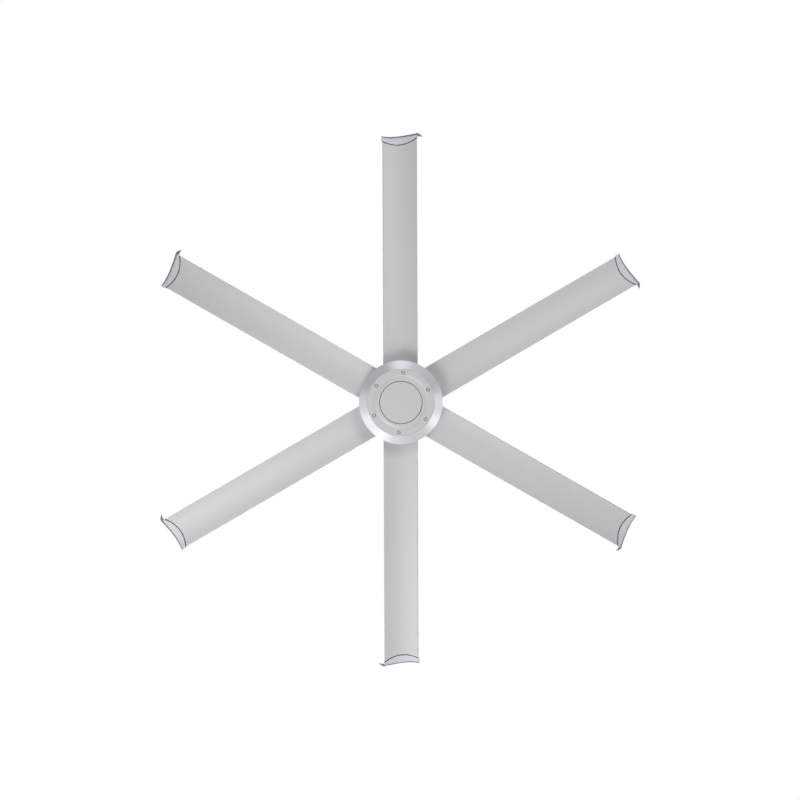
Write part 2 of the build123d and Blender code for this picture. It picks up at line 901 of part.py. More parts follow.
def rotor_screws():
    """Screws from below through the cup's flange into the hub casting."""
    low = casting_bottom_z - case_flange_height
    head_height = case_screw_radius * screw_head_height_share
    head_radius = case_screw_radius * screw_head_radius_share
    screws = []
    for angle in gap_angles:
        head = post(head_radius, case_screw_circle(), angle, low - head_height, low)
        shank = post(case_screw_radius, case_screw_circle(), angle, low - press_gap, casting_screw_top())
        screws.append(head + shank)
    return screws


# Hub shells and face


def dome_edges(inset):
    """The dome's outline from its mouth to its lower edge, drawn in by an inset."""
    wall_r = drum_radius - inset
    corner_r = drum_radius - rim_corner_radius
    corner_z = rim_top_z - rim_corner_radius
    bend = rim_corner_radius - inset
    diagonal = bend * cos(radians(45))
    start = flat(shell_mouth_radius, shell_top_z - inset)
    crown = flat(shell_screw_circle, dome_height(inset))
    corner = flat(corner_r, corner_z + bend)
    return (
        ThreePointArc(start, crown, corner),
        ThreePointArc(corner, flat(corner_r + diagonal, corner_z + diagonal), flat(wall_r, corner_z)),
        Line(flat(wall_r, corner_z), flat(wall_r, shell_joint_z)),
    )


def upper_shell():
    """Shallow dome over the blade roots."""
    shell = turned(
        *dome_edges(0),
        Line(flat(drum_radius, shell_joint_z), flat(drum_inner_radius, shell_joint_z)),
        *dome_edges(shell_wall),
        Line(flat(shell_mouth_radius, shell_top_z - shell_wall), flat(shell_mouth_radius, shell_top_z)),
    )
    for angle in gap_angles:
        top = dome_height(0) + overrun
        spot_floor = dome_height(0) - shell_spot_depth
        shell -= post(shell_screw_radius + close_gap, shell_screw_circle, angle, spot_floor - shell_wall, top)
        shell -= post(shell_spot_radius, shell_screw_circle, angle, spot_floor, top)
    return shell - blade_slots()


def shell_screws():
    """Screws that hold the dome down on the hub casting's posts."""
    floor = dome_height(0) - shell_spot_depth
    head_height = shell_screw_radius * screw_head_height_share
    head_radius = shell_screw_radius * screw_head_radius_share
    low = shell_post_top() - shell_screw_length + close_gap
    screws = []
    for angle in gap_angles:
        head = post(head_radius, shell_screw_circle, angle, floor, floor + head_height)
        head = fillet(head.edges().filter_by(GeomType.CIRCLE).sort_by(Axis.Z)[-1], shell_screw_radius / 2)
        head -= post(
            hex_socket_radius, shell_screw_circle, angle, floor + hex_socket_depth, floor + head_height
        )
        shank = post(shell_screw_radius, shell_screw_circle, angle, low, floor + press_gap)
        screws.append(head + shank)
    return screws


def lower_shell():
    """Drum wall from the dome down to the chamfer ring, with a lip inside the dome."""
    shell = tube(drum_radius, drum_inner_radius, ring_top_z, shell_joint_z)
    lip_outer = drum_inner_radius - close_gap
    lip_low = shell_joint_z - joint_lip_height
    lip = tube(lip_outer, lip_outer - shell_wall, lip_low, shell_joint_z + joint_lip_height)
    lip += tube(drum_inner_radius, lip_outer - shell_wall, lip_low, shell_joint_z - joint_lip_height / 2)
    return shell + lip - blade_slots()


def hub_ring():
    """Turned aluminium ring with the bright chamfer round the face."""
    flange_r = ring_inner_radius - ring_flange_width
    flange_top = plate_top_z + ring_flange_thickness
    lip_outer = drum_inner_radius - close_gap
    return turned_points(
        (drum_radius, ring_top_z),
        (ring_inner_radius + face_edge_radius, face_z),
        (ring_inner_radius, face_z),
        (ring_inner_radius, plate_top_z),
        (flange_r, plate_top_z),
        (flange_r, flange_top),
        (ring_inner_radius + ring_wall, flange_top),
        (lip_outer - shell_wall, ring_top_z + close_gap),
        (lip_outer - shell_wall, ring_top_z + joint_lip_height),
        (lip_outer, ring_top_z + joint_lip_height),
        (lip_outer, ring_top_z),
    )


def hub_plate():
    """Face plate with a soft ring groove, six counterbores and a seat for the cover."""
    ledge_r = cover_seat_radius - cover_ledge_width
    plate = turned_points(
        (face_plate_radius, face_z),
        (face_plate_radius, plate_top_z),
        (ledge_r, plate_top_z),
        (ledge_r, plate_top_z - cover_ledge_thickness),
        (cover_seat_radius, plate_top_z - cover_ledge_thickness),
        (cover_seat_radius, face_z),
    )
    groove_left = flat(face_groove_circle - face_groove_half_width, face_z)
    groove_right = flat(face_groove_circle + face_groove_half_width, face_z)
    groove_floor = flat(face_groove_circle, face_z + face_groove_depth)
    plate -= turned(
        ThreePointArc(groove_left, groove_floor, groove_right),
        Line(groove_right, groove_left),
    )
    for angle in face_screw_angles():
        plate -= post(face_screw_radius + close_gap, face_screw_circle, angle, face_z, plate_top_z)
        plate -= post(
            face_counterbore_radius, face_screw_circle, angle, face_z, face_z + face_counterbore_depth
        )
    edges = plate.edges().filter_by(GeomType.CIRCLE).group_by(Axis.Z)[0]
    lip = [edge for edge in edges if abs(edge.radius - cover_seat_radius) < close_gap]
    return fillet(lip, face_edge_radius)


def face_screws():
    """Socket screws sunk in the face."""
    floor = face_z + face_counterbore_depth
    screws = []
    for angle in face_screw_angles():
        low = floor - face_screw_head_height
        head = post(face_screw_head_radius, face_screw_circle, angle, low, floor)
        head = fillet(head.edges().filter_by(GeomType.CIRCLE).sort_by(Axis.Z)[0], face_edge_radius)
        head -= post(hex_socket_radius, face_screw_circle, angle, low, low + hex_socket_depth)
        shank = post(face_screw_radius, face_screw_circle, angle, floor - press_gap, face_screw_top())
        screws.append(head + shank)
    return screws


def centre_cover():
    """Round cover that snaps into the middle of the face."""
    disc_r = cover_seat_radius - cover_disc_gap
    snap_r = cover_seat_radius - cover_ledge_width - close_gap
    disc_top = plate_top_z - cover_ledge_thickness - close_gap
    cover = disc(disc_r, disc_top - cover_disc_thickness, disc_top)
    cover = fillet(cover.edges().filter_by(GeomType.CIRCLE).sort_by(Axis.Z)[0], face_edge_radius)
    snap_top = disc_top + cover_snap_height
    cover += tube(snap_r, snap_r - cover_snap_wall, disc_top - press_gap, snap_top)
    return cover


# Blades, drawn with X out along the blade, Y from nose to tail and Z up off the chord


def on_blade(shape, angle):
    """Moves a shape from the blade's own frame to its place on the fan."""
    return Rot(0, 0, angle) * Pos(0, 0, blade_z) * Rot(-blade_pitch, 0, 0) * shape


def mean_height(y):
    """Height of the mean line over the chord."""
    return camber_height * (1 - (2 * y / blade_chord) ** 2)


def mean_slope(y):
    """Slope of the mean line in degrees."""
    return degrees(atan(-8 * camber_height * y / blade_chord**2))


def half_thickness(y):
    """Half the blade's thickness at a place on the chord."""
    end_radius = nose_radius + (tail_radius - nose_radius) * (y / blade_chord + 1 / 2)
    swell = blade_thickness / 2 - (nose_radius + tail_radius) / 2
    return end_radius + swell * (1 - (2 * y / blade_chord) ** 2)


def section_face(front, rear, inset):
    """An aerofoil section between two places on the chord, drawn in by an inset."""
    ends = []
    for y, heading in ((front, -1), (rear, 1)):
        radius = half_thickness(y) - inset
        slope = radians(mean_slope(y))
        normal = (-sin(slope) * radius, cos(slope) * radius)
        along = (heading * cos(slope) * radius, heading * sin(slope) * radius)
        height = mean_height(y)
        ends.append(
            (
                (0, y - normal[0], height - normal[1]),
                (0, y + along[0], height + along[1]),
                (0, y + normal[0], height + normal[1]),
            )
        )
    (front_low, nose, front_high), (rear_low, tail, rear_high) = ends
    low_middle = (0, 0, mean_height(0) - half_thickness(0) + inset)
    high_middle = (0, 0, mean_height(0) + half_thickness(0) - inset)
    return make_face(
        Curve()
        + [
            ThreePointArc(front_low, low_middle, rear_low),
            ThreePointArc(rear_low, tail, rear_high),
            ThreePointArc(rear_high, high_middle, front_high),
            ThreePointArc(front_high, nose, front_low),
        ]
    )


def section_prism(face, start, end):
    """A section drawn out along the blade between two radii."""
    return Pos(start, 0, 0) * extrude(face, end - start, dir=(1, 0, 0))


def outer_face(growth):
    """The blade's own outline, grown by a gap."""
    front = -blade_chord / 2 + nose_radius
    rear = blade_chord / 2 - tail_radius
    return section_face(front, rear, -growth)


def cavity_face(inset):
    """The inside of the extrusion before its webs."""
    front = -blade_chord / 2 + front_cell_inset
    rear = blade_chord / 2 - rear_cell_inset
    return section_face(front, rear, skin_thickness + inset)


def spar_half_width(growth):
    """Half the spar's width."""
    return spar_cell_width / 2 - spar_gap + growth


def spar_prism(growth, start, end):
    """The spar's section, which fills the middle cell of the blade."""
    body = section_prism(cavity_face(spar_gap - growth), start, end)
    half = spar_half_width(growth)
    return body & block((start, end), (-half, half), (-section_reach, section_reach))


def blade_slots():
    """Openings in the shells that the blades pass through."""
    slot = section_prism(outer_face(blade_slot_gap), blade_root_radius, drum_radius + overrun)
    return [on_blade(slot, angle) for angle in blade_angles]


def spar_bolt_places():
    """Radii of the two bolts, as shares of the spar's seat."""
    seat = hub_casting_radius - spar_inner_radius
    return [spar_inner_radius + share * seat for share in spar_bolt_circle_shares]


def spar_top():
    """Height of the spar's back over the chord."""
    return mean_height(0) + half_thickness(0) - skin_thickness - spar_gap


def spar_bolt_shank(x, growth):
    """The hole or the shank of one spar bolt."""
    low = spar_top() - spar_bolt_depth
    depth = spar_bolt_depth + close_gap + growth
    return Pos(x, 0, low) * Cylinder(spar_bolt_radius + growth, depth, align=BASE)


def blade_spar():
    """Solid bar that carries one blade."""
    spar = spar_prism(0, spar_inner_radius, spar_outer_radius)
    for x in spar_bolt_places():
        spar -= spar_bolt_shank(x, close_gap)
    for x in blade_screw_places():
        hole = Cylinder(blade_screw_radius + press_gap, blade_screw_length, align=BASE)
        spar -= Pos(x, 0, blade_screw_low()) * hole
    return spar


def spar_bolts(angle):
    """Two bolts down through a spar into its cradle."""
    bolts = []
    for x in spar_bolt_places():
        head = Pos(x, 0, spar_top() + close_gap) * Cylinder(
            spar_bolt_head_radius, spar_bolt_head_height, align=BASE
        )
        head = fillet(head.edges().filter_by(GeomType.CIRCLE).sort_by(Axis.Z)[-1], face_edge_radius)
        bolts.append(on_blade(head + spar_bolt_shank(x, 0), angle))
    return bolts


def blade_screw_places():
    """Radii of the two screws in each blade's root."""
    first = blade_root_radius + blade_screw_inset
    return (first, first + blade_screw_spacing)


def blade_back():
    """Height of the blade's back over the middle of the chord."""
    return mean_height(0) + half_thickness(0)


def blade_screw_low():
    """Where the blade screws end."""
    return blade_back() - blade_screw_length


def blade_screws(angle):
    """Pan headed screws through the blade's back into its spar."""
    screws = []
    for x in blade_screw_places():
        shank = Pos(x, 0, blade_screw_low()) * Cylinder(
            blade_screw_radius, blade_screw_length + close_gap, align=BASE
        )
        head = Pos(x, 0, blade_back() + close_gap) * Cylinder(
            blade_screw_head_radius, blade_screw_head_height, align=BASE
        )
        screws.append(on_blade(shank + head, angle))
    return screws


def arc_reach(front, middle, rear, y):
    """X of the parabola through three points of an outline, at a place on the chord."""
    (x0, y0), (x1, y1), (x2, y2) = front, middle, rear
    first = (x1 - x0) / (y1 - y0)
    second = (x2 - x1) / (y2 - y1)
    bend = (second - first) / (y2 - y0)
    return x0 + first * (y - y0) + bend * (y - y0) * (y - y1)


def seam_reach(y):
    """X of the curved end of the blade."""
    half = blade_chord / 2
    front = (tip_radius - seam_front_inset, -half)
    middle = (tip_radius - seam_middle_inset, 0)
    rear = (tip_radius - seam_rear_inset, half)
    return arc_reach(front, middle, rear, y)


def tip_reach(y):
    """X of the outer face of the winglet."""
    half = blade_chord / 2
    front = (tip_radius - tip_front_inset, -half)
    middle = (tip_radius - tip_middle_inset, 0)
    rear = (tip_radius, half)
    return arc_reach(front, middle, rear, y)


def blade_end_cutter():
    """Everything beyond the curved seam."""
    front = -blade_chord
    rear = blade_chord
    places = [front + share * (rear - front) for share in seam_point_shares]
    curve = Spline(*[(seam_reach(y), y, 0) for y in places])
    far = tip_radius + blade_chord
    outline = Curve() + [
        curve,
        Line((seam_reach(rear), rear, 0), (far, rear, 0)),
        Line((far, rear, 0), (far, front, 0)),
        Line((far, front, 0), (seam_reach(front), front, 0)),
    ]
    return extrude(make_face(outline), section_reach, dir=(0, 0, 1), both=True)


def blade():
    """Hollow extrusion with three cells, its outer end cut to the curved seam."""
    start = blade_root_radius
    end = tip_radius
    body = section_prism(outer_face(0), start, end)
    hollow = section_prism(cavity_face(0), start, end)
    half = spar_cell_width / 2
    for side in (-1, 1):
        web = sorted((side * half, side * (half + web_thickness)))
        hollow -= block((start, end), web, (-section_reach, section_reach))
    body -= hollow
    body -= blade_end_cutter()
    for x in blade_screw_places():
        hole = Cylinder(blade_screw_radius + close_gap, blade_screw_length, align=BASE)
        body -= Pos(x, 0, blade_screw_low()) * hole
    hole = Cylinder(tip_screw_radius + close_gap, tip_screw_length, align=BASE)
    body -= Pos(tip_screw_x(), 0, blade_back() - tip_screw_length) * hole
    return body


def tip_screw_x():
    """The tip's screw stands a little inboard of the seam."""
    return seam_reach(0) - tip_screw_inset


def tip_screw(angle):
    """Screw through the blade's back into the tip's tongue."""
    low = blade_back() - tip_screw_length
    shank = Pos(tip_screw_x(), 0, low) * Cylinder(tip_screw_radius, tip_screw_length + close_gap, align=BASE)
    head = Pos(tip_screw_x(), 0, blade_back() + close_gap) * Cylinder(
        tip_screw_head_radius, tip_screw_head_height, align=BASE
    )
    return on_blade(shank + head, angle)


def fin_top(share):
    """Height of the winglet's swept leading edge along the chord."""
    y = tip_place(share)
    root = mean_height(y) + half_thickness(y) + fin_inner_bend + fin_root_height
    return root + (fin_height - root) * sin(radians(90 * share))


def tip_place(share):
    """Place on the chord of one of the tip's sections."""
    front = -blade_chord / 2 - tip_front_overhang
    rear = blade_chord / 2 - tip_rear_inset
    return front + share * (rear - front)


def lean_reach(rise, bend):
    """How far a leaning face stands out beyond the start of the bend at its foot."""
    lean = radians(fin_lean)
    return ((rise - bend) * sin(lean) + bend) / cos(lean)


def bend_point(x, y, z, bend, turn):
    """A point of the bend, so many degrees after it leaves the foot."""
    return (x + bend * sin(radians(turn)), y, z + bend * (1 - cos(radians(turn))))


def tip_section(share):
    """Section of the tip across the chord: a flat foot that bends up into the winglet."""
    y = tip_place(share)
    fullness = tip_nose_share if share == 0 else 1
    half = (half_thickness(y) + tip_step) * fullness
    low = mean_height(y) - half
    high = mean_height(y) + half
    seam = seam_reach(y) + seam_gap
    top = fin_top(share)
    out_bend = fin_outer_bend
    in_bend = fin_inner_bend
    width = fin_thickness / cos(radians(fin_lean))
    outer = tip_reach(y)
    inner = outer - width
    heel_x = outer - lean_reach(top - low, out_bend)
    throat_x = inner - lean_reach(top - high, in_bend)
    foot = (heel_x, y, low)
    heel_middle = bend_point(heel_x, y, low, out_bend, (90 - fin_lean) / 2)
    heel = bend_point(heel_x, y, low, out_bend, 90 - fin_lean)
    throat = bend_point(throat_x, y, high, in_bend, 90 - fin_lean)
    throat_middle = bend_point(throat_x, y, high, in_bend, (90 - fin_lean) / 2)
    throat_end = (throat_x, y, high)
    crest = ((outer + inner) / 2, y, top + fin_edge_round)
    return make_face(
        Curve()
        + [
            Line((seam, y, low), foot),
            ThreePointArc(foot, heel_middle, heel),
            Line(heel, (outer, y, top)),
            ThreePointArc((outer, y, top), crest, (inner, y, top)),
            Line((inner, y, top), throat),
            ThreePointArc(throat, throat_middle, throat_end),
            Line(throat_end, (seam, y, high)),
            Line((seam, y, high), (seam, y, low)),
        ]
    )


def tail_section(index):
    """Section of the winglet's swept tail, which rises behind the trailing edge."""
    last = len(tail_rise_shares) - 1
    share = index / last
    start = tip_place(1) - tail_overlap
    y = start + share * (tail_length + tail_overlap)
    lean = radians(fin_lean + tail_lean_shares[index] * tail_extra_lean)
    thickness = fin_thickness - close_gap * 2 + share * (tail_tip_thickness - fin_thickness)
    width = thickness / cos(lean)
    low_start = mean_height(start) + fin_outer_bend
    top = fin_height - close_gap
    low = low_start + tail_rise_shares[index] * (top - tail_tip_height - low_start)
    outer_top = tip_reach(y) - close_gap - tail_bend * share**2
    outer_low = outer_top - (top - low) * tan(lean)
    corners = (
        (outer_low, y, low),
        (outer_top, y, top),
        (outer_top - width, y, top),
        (outer_low - width, y, low),
    )
    return make_face(Polyline(*corners, close=True))


def blade_tip():
    """Moulded tip: a foot flush with the blade, a winglet, its tail and a tongue in the blade."""
    tip = loft([tip_section(share) for share in tip_section_shares])
    tip += loft([tail_section(index) for index in range(len(tail_rise_shares))], ruled=True)
    start = seam_reach(0) - tongue_length
    tongue = spar_prism(0, start, seam_reach(0) + seam_gap + tongue_depth)
    tip += tongue
    hole = Cylinder(tip_screw_radius + press_gap, tip_screw_length, align=BASE)
    tip -= Pos(tip_screw_x(), 0, blade_back() - tip_screw_length) * hole
    return tip


def main():
    """Builds every node and writes it."""
    os.makedirs("parts", exist_ok=True)
    save("hanger_bracket", hanger_bracket())
    save("canopy", canopy())
    save("canopy_trim", canopy_trim())
    save("canopy_screws", *[canopy_screw(angle) for angle in canopy_screw_angles()])
    save("receiver_box", receiver_box())
    save("terminal_block", terminal_block())
    save("earth_screw", earth_screw())
    save("ball_seat", ball_seat())
    save("hanger_ball", hanger_ball())
    save("ball_pin", ball_pin())
    save("ball_screw", ball_screw())
    save("downrod", downrod())
    save("motor_coupling", motor_coupling())
    save("clevis_pin", clevis_pin())
    save("pin_clip", pin_clip())
    save("coupling_screws", *coupling_screws())
    save("coupling_cover", coupling_cover())
    save("motor_shaft", motor_shaft())
    save("shaft_rings", *shaft_rings())
    save("bearing_inner_races", *bearing_inner_races())
    save("bearing_outer_races", *bearing_outer_races())
    save("bearing_balls", *bearing_balls())
    save("stator_core", stator_core())
    save("stator_windings", *stator_windings())
    save("sensor_board", sensor_board())
    save("rotor_hub", rotor_hub())
    save("rotor_case", rotor_case())
    save("rotor_magnets", rotor_magnets())
    save("rotor_screws", *rotor_screws())
    save("upper_shell", upper_shell())
    save("lower_shell", lower_shell())
    save("shell_screws", *shell_screws())
    save("hub_ring", hub_ring())
    save("hub_plate", hub_plate())
    save("face_screws", *face_screws())
    save("centre_cover", centre_cover())
    spar = blade_spar()
    body = blade()
    tip = blade_tip()
    for number, angle in enumerate(blade_angles, start=1):
        save(f"blade_spar_{number}", on_blade(spar, angle))
        save(f"blade_{number}", on_blade(body, angle))
        save(f"blade_tip_{number}", on_blade(tip, angle))
    save("spar_bolts", *[bolt for angle in blade_angles for bolt in spar_bolts(angle)])
    save("blade_screws", *[screw for angle in blade_angles for screw in blade_screws(angle)])
    save("tip_screws", *[tip_screw(angle) for angle in blade_angles])


main()
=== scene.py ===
import json
import math

import bpy
from bpy.props import FloatProperty, FloatVectorProperty, PointerProperty
from mathutils import Euler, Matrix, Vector

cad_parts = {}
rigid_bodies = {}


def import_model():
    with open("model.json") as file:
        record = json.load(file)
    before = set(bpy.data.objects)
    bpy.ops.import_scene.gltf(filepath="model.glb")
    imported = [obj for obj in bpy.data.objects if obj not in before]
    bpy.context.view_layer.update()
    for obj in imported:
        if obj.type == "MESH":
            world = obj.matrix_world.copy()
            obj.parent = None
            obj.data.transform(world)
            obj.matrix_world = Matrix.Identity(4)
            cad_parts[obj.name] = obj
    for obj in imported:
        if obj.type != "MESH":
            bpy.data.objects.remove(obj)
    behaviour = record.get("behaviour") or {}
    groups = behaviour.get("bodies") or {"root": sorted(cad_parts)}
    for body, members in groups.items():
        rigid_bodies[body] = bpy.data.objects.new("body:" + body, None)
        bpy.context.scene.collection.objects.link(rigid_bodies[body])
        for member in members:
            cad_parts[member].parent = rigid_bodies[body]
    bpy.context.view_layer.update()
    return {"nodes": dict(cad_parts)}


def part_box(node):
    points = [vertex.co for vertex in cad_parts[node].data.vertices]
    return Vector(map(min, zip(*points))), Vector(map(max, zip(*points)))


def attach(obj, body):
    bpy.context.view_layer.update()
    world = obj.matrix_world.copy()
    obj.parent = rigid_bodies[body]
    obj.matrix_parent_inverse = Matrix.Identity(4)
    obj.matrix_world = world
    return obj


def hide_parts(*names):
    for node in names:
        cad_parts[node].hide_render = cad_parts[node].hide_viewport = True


bl_info = {
    "name": "Ceiling fan",
    "version": (1, 0, 0),
    "blender": (4, 5, 0),
    "location": "3D View > Sidebar > Ceiling fan",
    "description": "Finishes, details and a studio for a large ceiling fan",
    "category": "Object",
}

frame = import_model()
nodes = frame["nodes"]
FACE_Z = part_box("hub_plate")[0].z
COVER_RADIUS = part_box("centre_cover")[1].x
TIP_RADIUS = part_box("blade_tip_2")[1].y
BLADE_COUNT = 6
BLADE_STEP = math.tau / BLADE_COUNT
blade_numbers = range(1, BLADE_COUNT + 1)

# Height of the blades' plane, which the camera and the lamps aim at
BLADE_PLANE_Z = -0.33

# Points closer together than this become one
MERGE_DISTANCE = 0.000001
SPIN_MERGE_DISTANCE = 0.00001

# Steps in the turn of a spun ring, and its corners
COVER_SEAL_STEPS = 180
WASHER_STEPS = 48
CORNER_SHARE = 0.25
CORNER_SEGMENTS = 3

# A blade's end faces point outward at least this much, and lie beyond this share of the tips' reach
END_FACING = 0.75
END_REACH = 0.9


# Settings


class FanStageSettings(bpy.types.PropertyGroup):
    """Camera, floor and lamps."""

    camera_distance: FloatProperty(
        name="Camera distance", description="From the camera to the blades", default=3.5, unit="LENGTH"
    )
    camera_tilt: FloatProperty(
        name="Camera tilt", description="Lean up the picture", default=math.radians(1.45),
        unit="ROTATION",
    )
    camera_lean: FloatProperty(
        name="Camera lean", description="Lean to the right", default=math.radians(0.92),
        unit="ROTATION",
    )
    camera_turn: FloatProperty(
        name="Camera turn", description="Turn about the rotor axis", default=math.radians(0.21),
        unit="ROTATION",
    )
    camera_lens: FloatProperty(
        name="Focal length", description="Lens of the camera in millimetres", default=39.5,
        unit="CAMERA",
    )
    camera_sensor: FloatProperty(
        name="Sensor width", description="Of the camera in millimetres", default=36.0, unit="CAMERA"
    )
    camera_aside: FloatProperty(
        name="Camera aside", description="How far right of the rotor it aims", default=-0.0022,
        unit="LENGTH",
    )
    camera_rise: FloatProperty(
        name="Camera rise", description="How far above the rotor it aims", default=0.0074,
        unit="LENGTH",
    )
    floor_height: FloatProperty(
        name="Floor height", description="The floor under the ceiling", default=-4.1, unit="LENGTH"
    )
    floor_size: FloatProperty(
        name="Floor size", description="Edge length of the floor", default=40.0, unit="LENGTH"
    )
    floor_tone: FloatProperty(
        name="Floor tone", description="How white the floor is, from 0 to 1", default=0.86
    )
    floor_glow: FloatProperty(
        name="Floor glow", description="White added to what is seen of the floor", default=0.18
    )
    fade_start: FloatProperty(
        name="Fade start", description="Where the floor starts to fade into the white room",
        default=9.0, unit="LENGTH",
    )
    fade_end: FloatProperty(
        name="Fade end", description="Where the floor has faded into the white room",
        default=15.0, unit="LENGTH",
    )
    sky_strength: FloatProperty(
        name="Room light", description="Strength of the even light from all sides", default=0.3
    )
    lamp_strength: FloatProperty(
        name="Lamp strength", description="Multiplies the watts of all the soft lamps", default=1.0
    )
    lamp_size: FloatProperty(
        name="Lamp size", description="Diameter of each soft lamp", default=1.4, unit="LENGTH"
    )
    lamp_distance: FloatProperty(
        name="Lamp distance", description="From each lamp to the fan", default=3.0, unit="LENGTH"
    )


class FanDetailSettings(bpy.types.PropertyGroup):
    """Sizes of the pieces made here."""

    # The cover seal and the washers are near-black pieces that paint shade into the gap round the cover
    # and into the counterbores
    cover_gap: FloatProperty(
        name="Cover gap", description="Width of the gap round the centre cover", default=0.002,
        unit="LENGTH",
    )
    cover_seal_depth: FloatProperty(
        name="Cover seal depth", description="From the face to the seal in the gap", default=0.0022,
        unit="LENGTH",
    )
    cover_seal_height: FloatProperty(
        name="Cover seal height", description="Of the seal round the cover", default=0.0009,
        unit="LENGTH",
    )
    screw_head_radius: FloatProperty(
        name="Screw head radius", description="Of the six face screws", default=0.0056, unit="LENGTH"
    )
    screw_lead: FloatProperty(
        name="Screw lead", description="From each blade's axis to its face screw",
        default=math.radians(4.6), unit="ROTATION",
    )
    washer_radius: FloatProperty(
        name="Washer radius", description="Of the washers round the face screws", default=0.0071,
        unit="LENGTH",
    )
    washer_lap: FloatProperty(
        name="Washer lap", description="How far a washer laps the head's rounded edge", default=0.0005,
        unit="LENGTH",
    )
    washer_depth: FloatProperty(
        name="Washer depth", description="From the face to the washers", default=0.00025, unit="LENGTH"
    )
    washer_height: FloatProperty(
        name="Washer height", description="Of the washers", default=0.0024, unit="LENGTH"
    )
    # The seam seal is near-black and paints the shadow line in the seam between blade and tip
    seam_shade_seal_thickness: FloatProperty(
        name="Seam seal thickness", description="Of the seal between blade and tip", default=0.002,
        unit="LENGTH",
    )
    seam_shade_seal_lip: FloatProperty(
        name="Seam seal lip", description="How far the seal's lip stands out and laps the seam",
        default=0.0009, unit="LENGTH",
    )
    small_clearance: FloatProperty(
        name="Clearance", description="Left beside the cover seal", default=0.00005, unit="LENGTH"
    )
    smooth_angle: FloatProperty(
        name="Smooth angle", description="Edges sharper than this stay sharp",
        default=math.radians(40), unit="ROTATION",
    )


class FanColourSettings(bpy.types.PropertyGroup):
    """Colours of the finishes."""

    blade_paint: FloatVectorProperty(
        name="Blade paint", description="Satin silver on the blades", size=3, subtype="COLOR",
        default=(0.542, 0.556, 0.557),
    )
    hub_paint: FloatVectorProperty(
        name="Hub paint", description="Satin silver on the drum", size=3, subtype="COLOR",
        default=(0.51, 0.525, 0.525),
    )
    face_paint: FloatVectorProperty(
        name="Face paint", description="Satin silver on the face plate", size=3, subtype="COLOR",
        default=(0.52, 0.525, 0.52),
    )
    tip_plastic: FloatVectorProperty(
        name="Tip plastic", description="Moulded blade tips", size=3, subtype="COLOR",
        default=(0.58, 0.59, 0.62),
    )
    ring_metal: FloatVectorProperty(
        name="Ring metal", description="Turned aluminium ring", size=3, subtype="COLOR",
        default=(0.70, 0.725, 0.745),
    )
    screw_metal: FloatVectorProperty(
        name="Screw metal", description="Heads of the face screws", size=3, subtype="COLOR",
        default=(0.52, 0.53, 0.53),
    )
    # Near-black: the seals and washers made of it are painted shade in the gaps, the counterbores and the
    # seams
    gap_shade_rubber: FloatVectorProperty(
        name="Seal rubber", description="Seals and washers", size=3, subtype="COLOR",
        default=(0.012, 0.012, 0.013),
    )
    steel: FloatVectorProperty(
        name="Steel", description="Plated screws and brackets", size=3, subtype="COLOR",
        default=(0.55, 0.56, 0.58),
    )
    black_plastic: FloatVectorProperty(
        name="Black plastic", description="Ball, receiver and trim", size=3, subtype="COLOR",
        default=(0.03, 0.03, 0.032),
    )
    white_nylon: FloatVectorProperty(
        name="White nylon", description="Ball seat and terminals", size=3, subtype="COLOR",
        default=(0.74, 0.73, 0.69),
    )
    cast_metal: FloatVectorProperty(
        name="Cast aluminium", description="Coupling and rotor castings", size=3, subtype="COLOR",
        default=(0.42, 0.43, 0.44),
    )
    copper: FloatVectorProperty(
        name="Copper", description="Enamelled winding wire", size=3, subtype="COLOR",
        default=(0.55, 0.20, 0.08),
    )
    brass: FloatVectorProperty(
        name="Brass", description="Earth screw", size=3, subtype="COLOR",
        default=(0.66, 0.45, 0.16),
    )
    ground_steel: FloatVectorProperty(
        name="Ground steel", description="Shaft and bearings", size=3, subtype="COLOR",
        default=(0.62, 0.63, 0.64),
    )
    spun_steel: FloatVectorProperty(
        name="Spun steel", description="Rotor case", size=3, subtype="COLOR",
        default=(0.48, 0.49, 0.51),
    )
    laminations: FloatVectorProperty(
        name="Laminations", description="Core of the stator", size=3, subtype="COLOR",
        default=(0.20, 0.21, 0.23),
    )
    magnet: FloatVectorProperty(
        name="Magnet", description="Sintered magnets of the rotor", size=3, subtype="COLOR",
        default=(0.16, 0.16, 0.17),
    )
    circuit_board: FloatVectorProperty(
        name="Circuit board", description="Board of the sensors", size=3, subtype="COLOR",
        default=(0.02, 0.18, 0.08),
    )
    mill_aluminium: FloatVectorProperty(
        name="Mill aluminium", description="Spars in the blades", size=3, subtype="COLOR",
        default=(0.62, 0.63, 0.65),
    )


# Shader tools


# Noise and relief that the finishes share. The scales are in waves a metre, and the reliefs in metres.
MIDDLE_OF_NOISE = 0.5
FLECK_DETAIL = 2.0
DRIFT_SCALE = 3.0
DRIFT_DETAIL = 3.0
PEEL_SHARE = 0.35
PEEL_DETAIL = 1.0
RING_DETAIL = 4.0
GRAIN_DETAIL = 5.0
TURNED_CLOUD_SCALE = 25.0
CAST_CLOUD_SCALE = 40.0
CLOUD_DETAIL = 2.0
CLOUD_STRENGTH = 0.06
METAL_ROUGHNESS_SPREAD = 0.15
SKIN_RELIEF = 0.0002
RING_RELIEF = 0.0001

# Painted shade on the tips: how squarely a tip's face looks outward where its painted shade starts and
# where it is full, and how dark it gets
OUTSIDE_SHADE_START = 0.68
OUTSIDE_SHADE_FULL = 0.9
OUTSIDE_SHADE_DARKENING = 0.85


def group_tree(name, inputs, outputs):
    """A new shader node group with named sockets."""
    tree = bpy.data.node_groups.new(name, "ShaderNodeTree")
    for label, kind, default in inputs:
        socket = tree.interface.new_socket(name=label, in_out="INPUT", socket_type=kind)
        socket.default_value = default
    for label, kind in outputs:
        tree.interface.new_socket(name=label, in_out="OUTPUT", socket_type=kind)
    return tree, tree.nodes.new("NodeGroupInput"), tree.nodes.new("NodeGroupOutput")


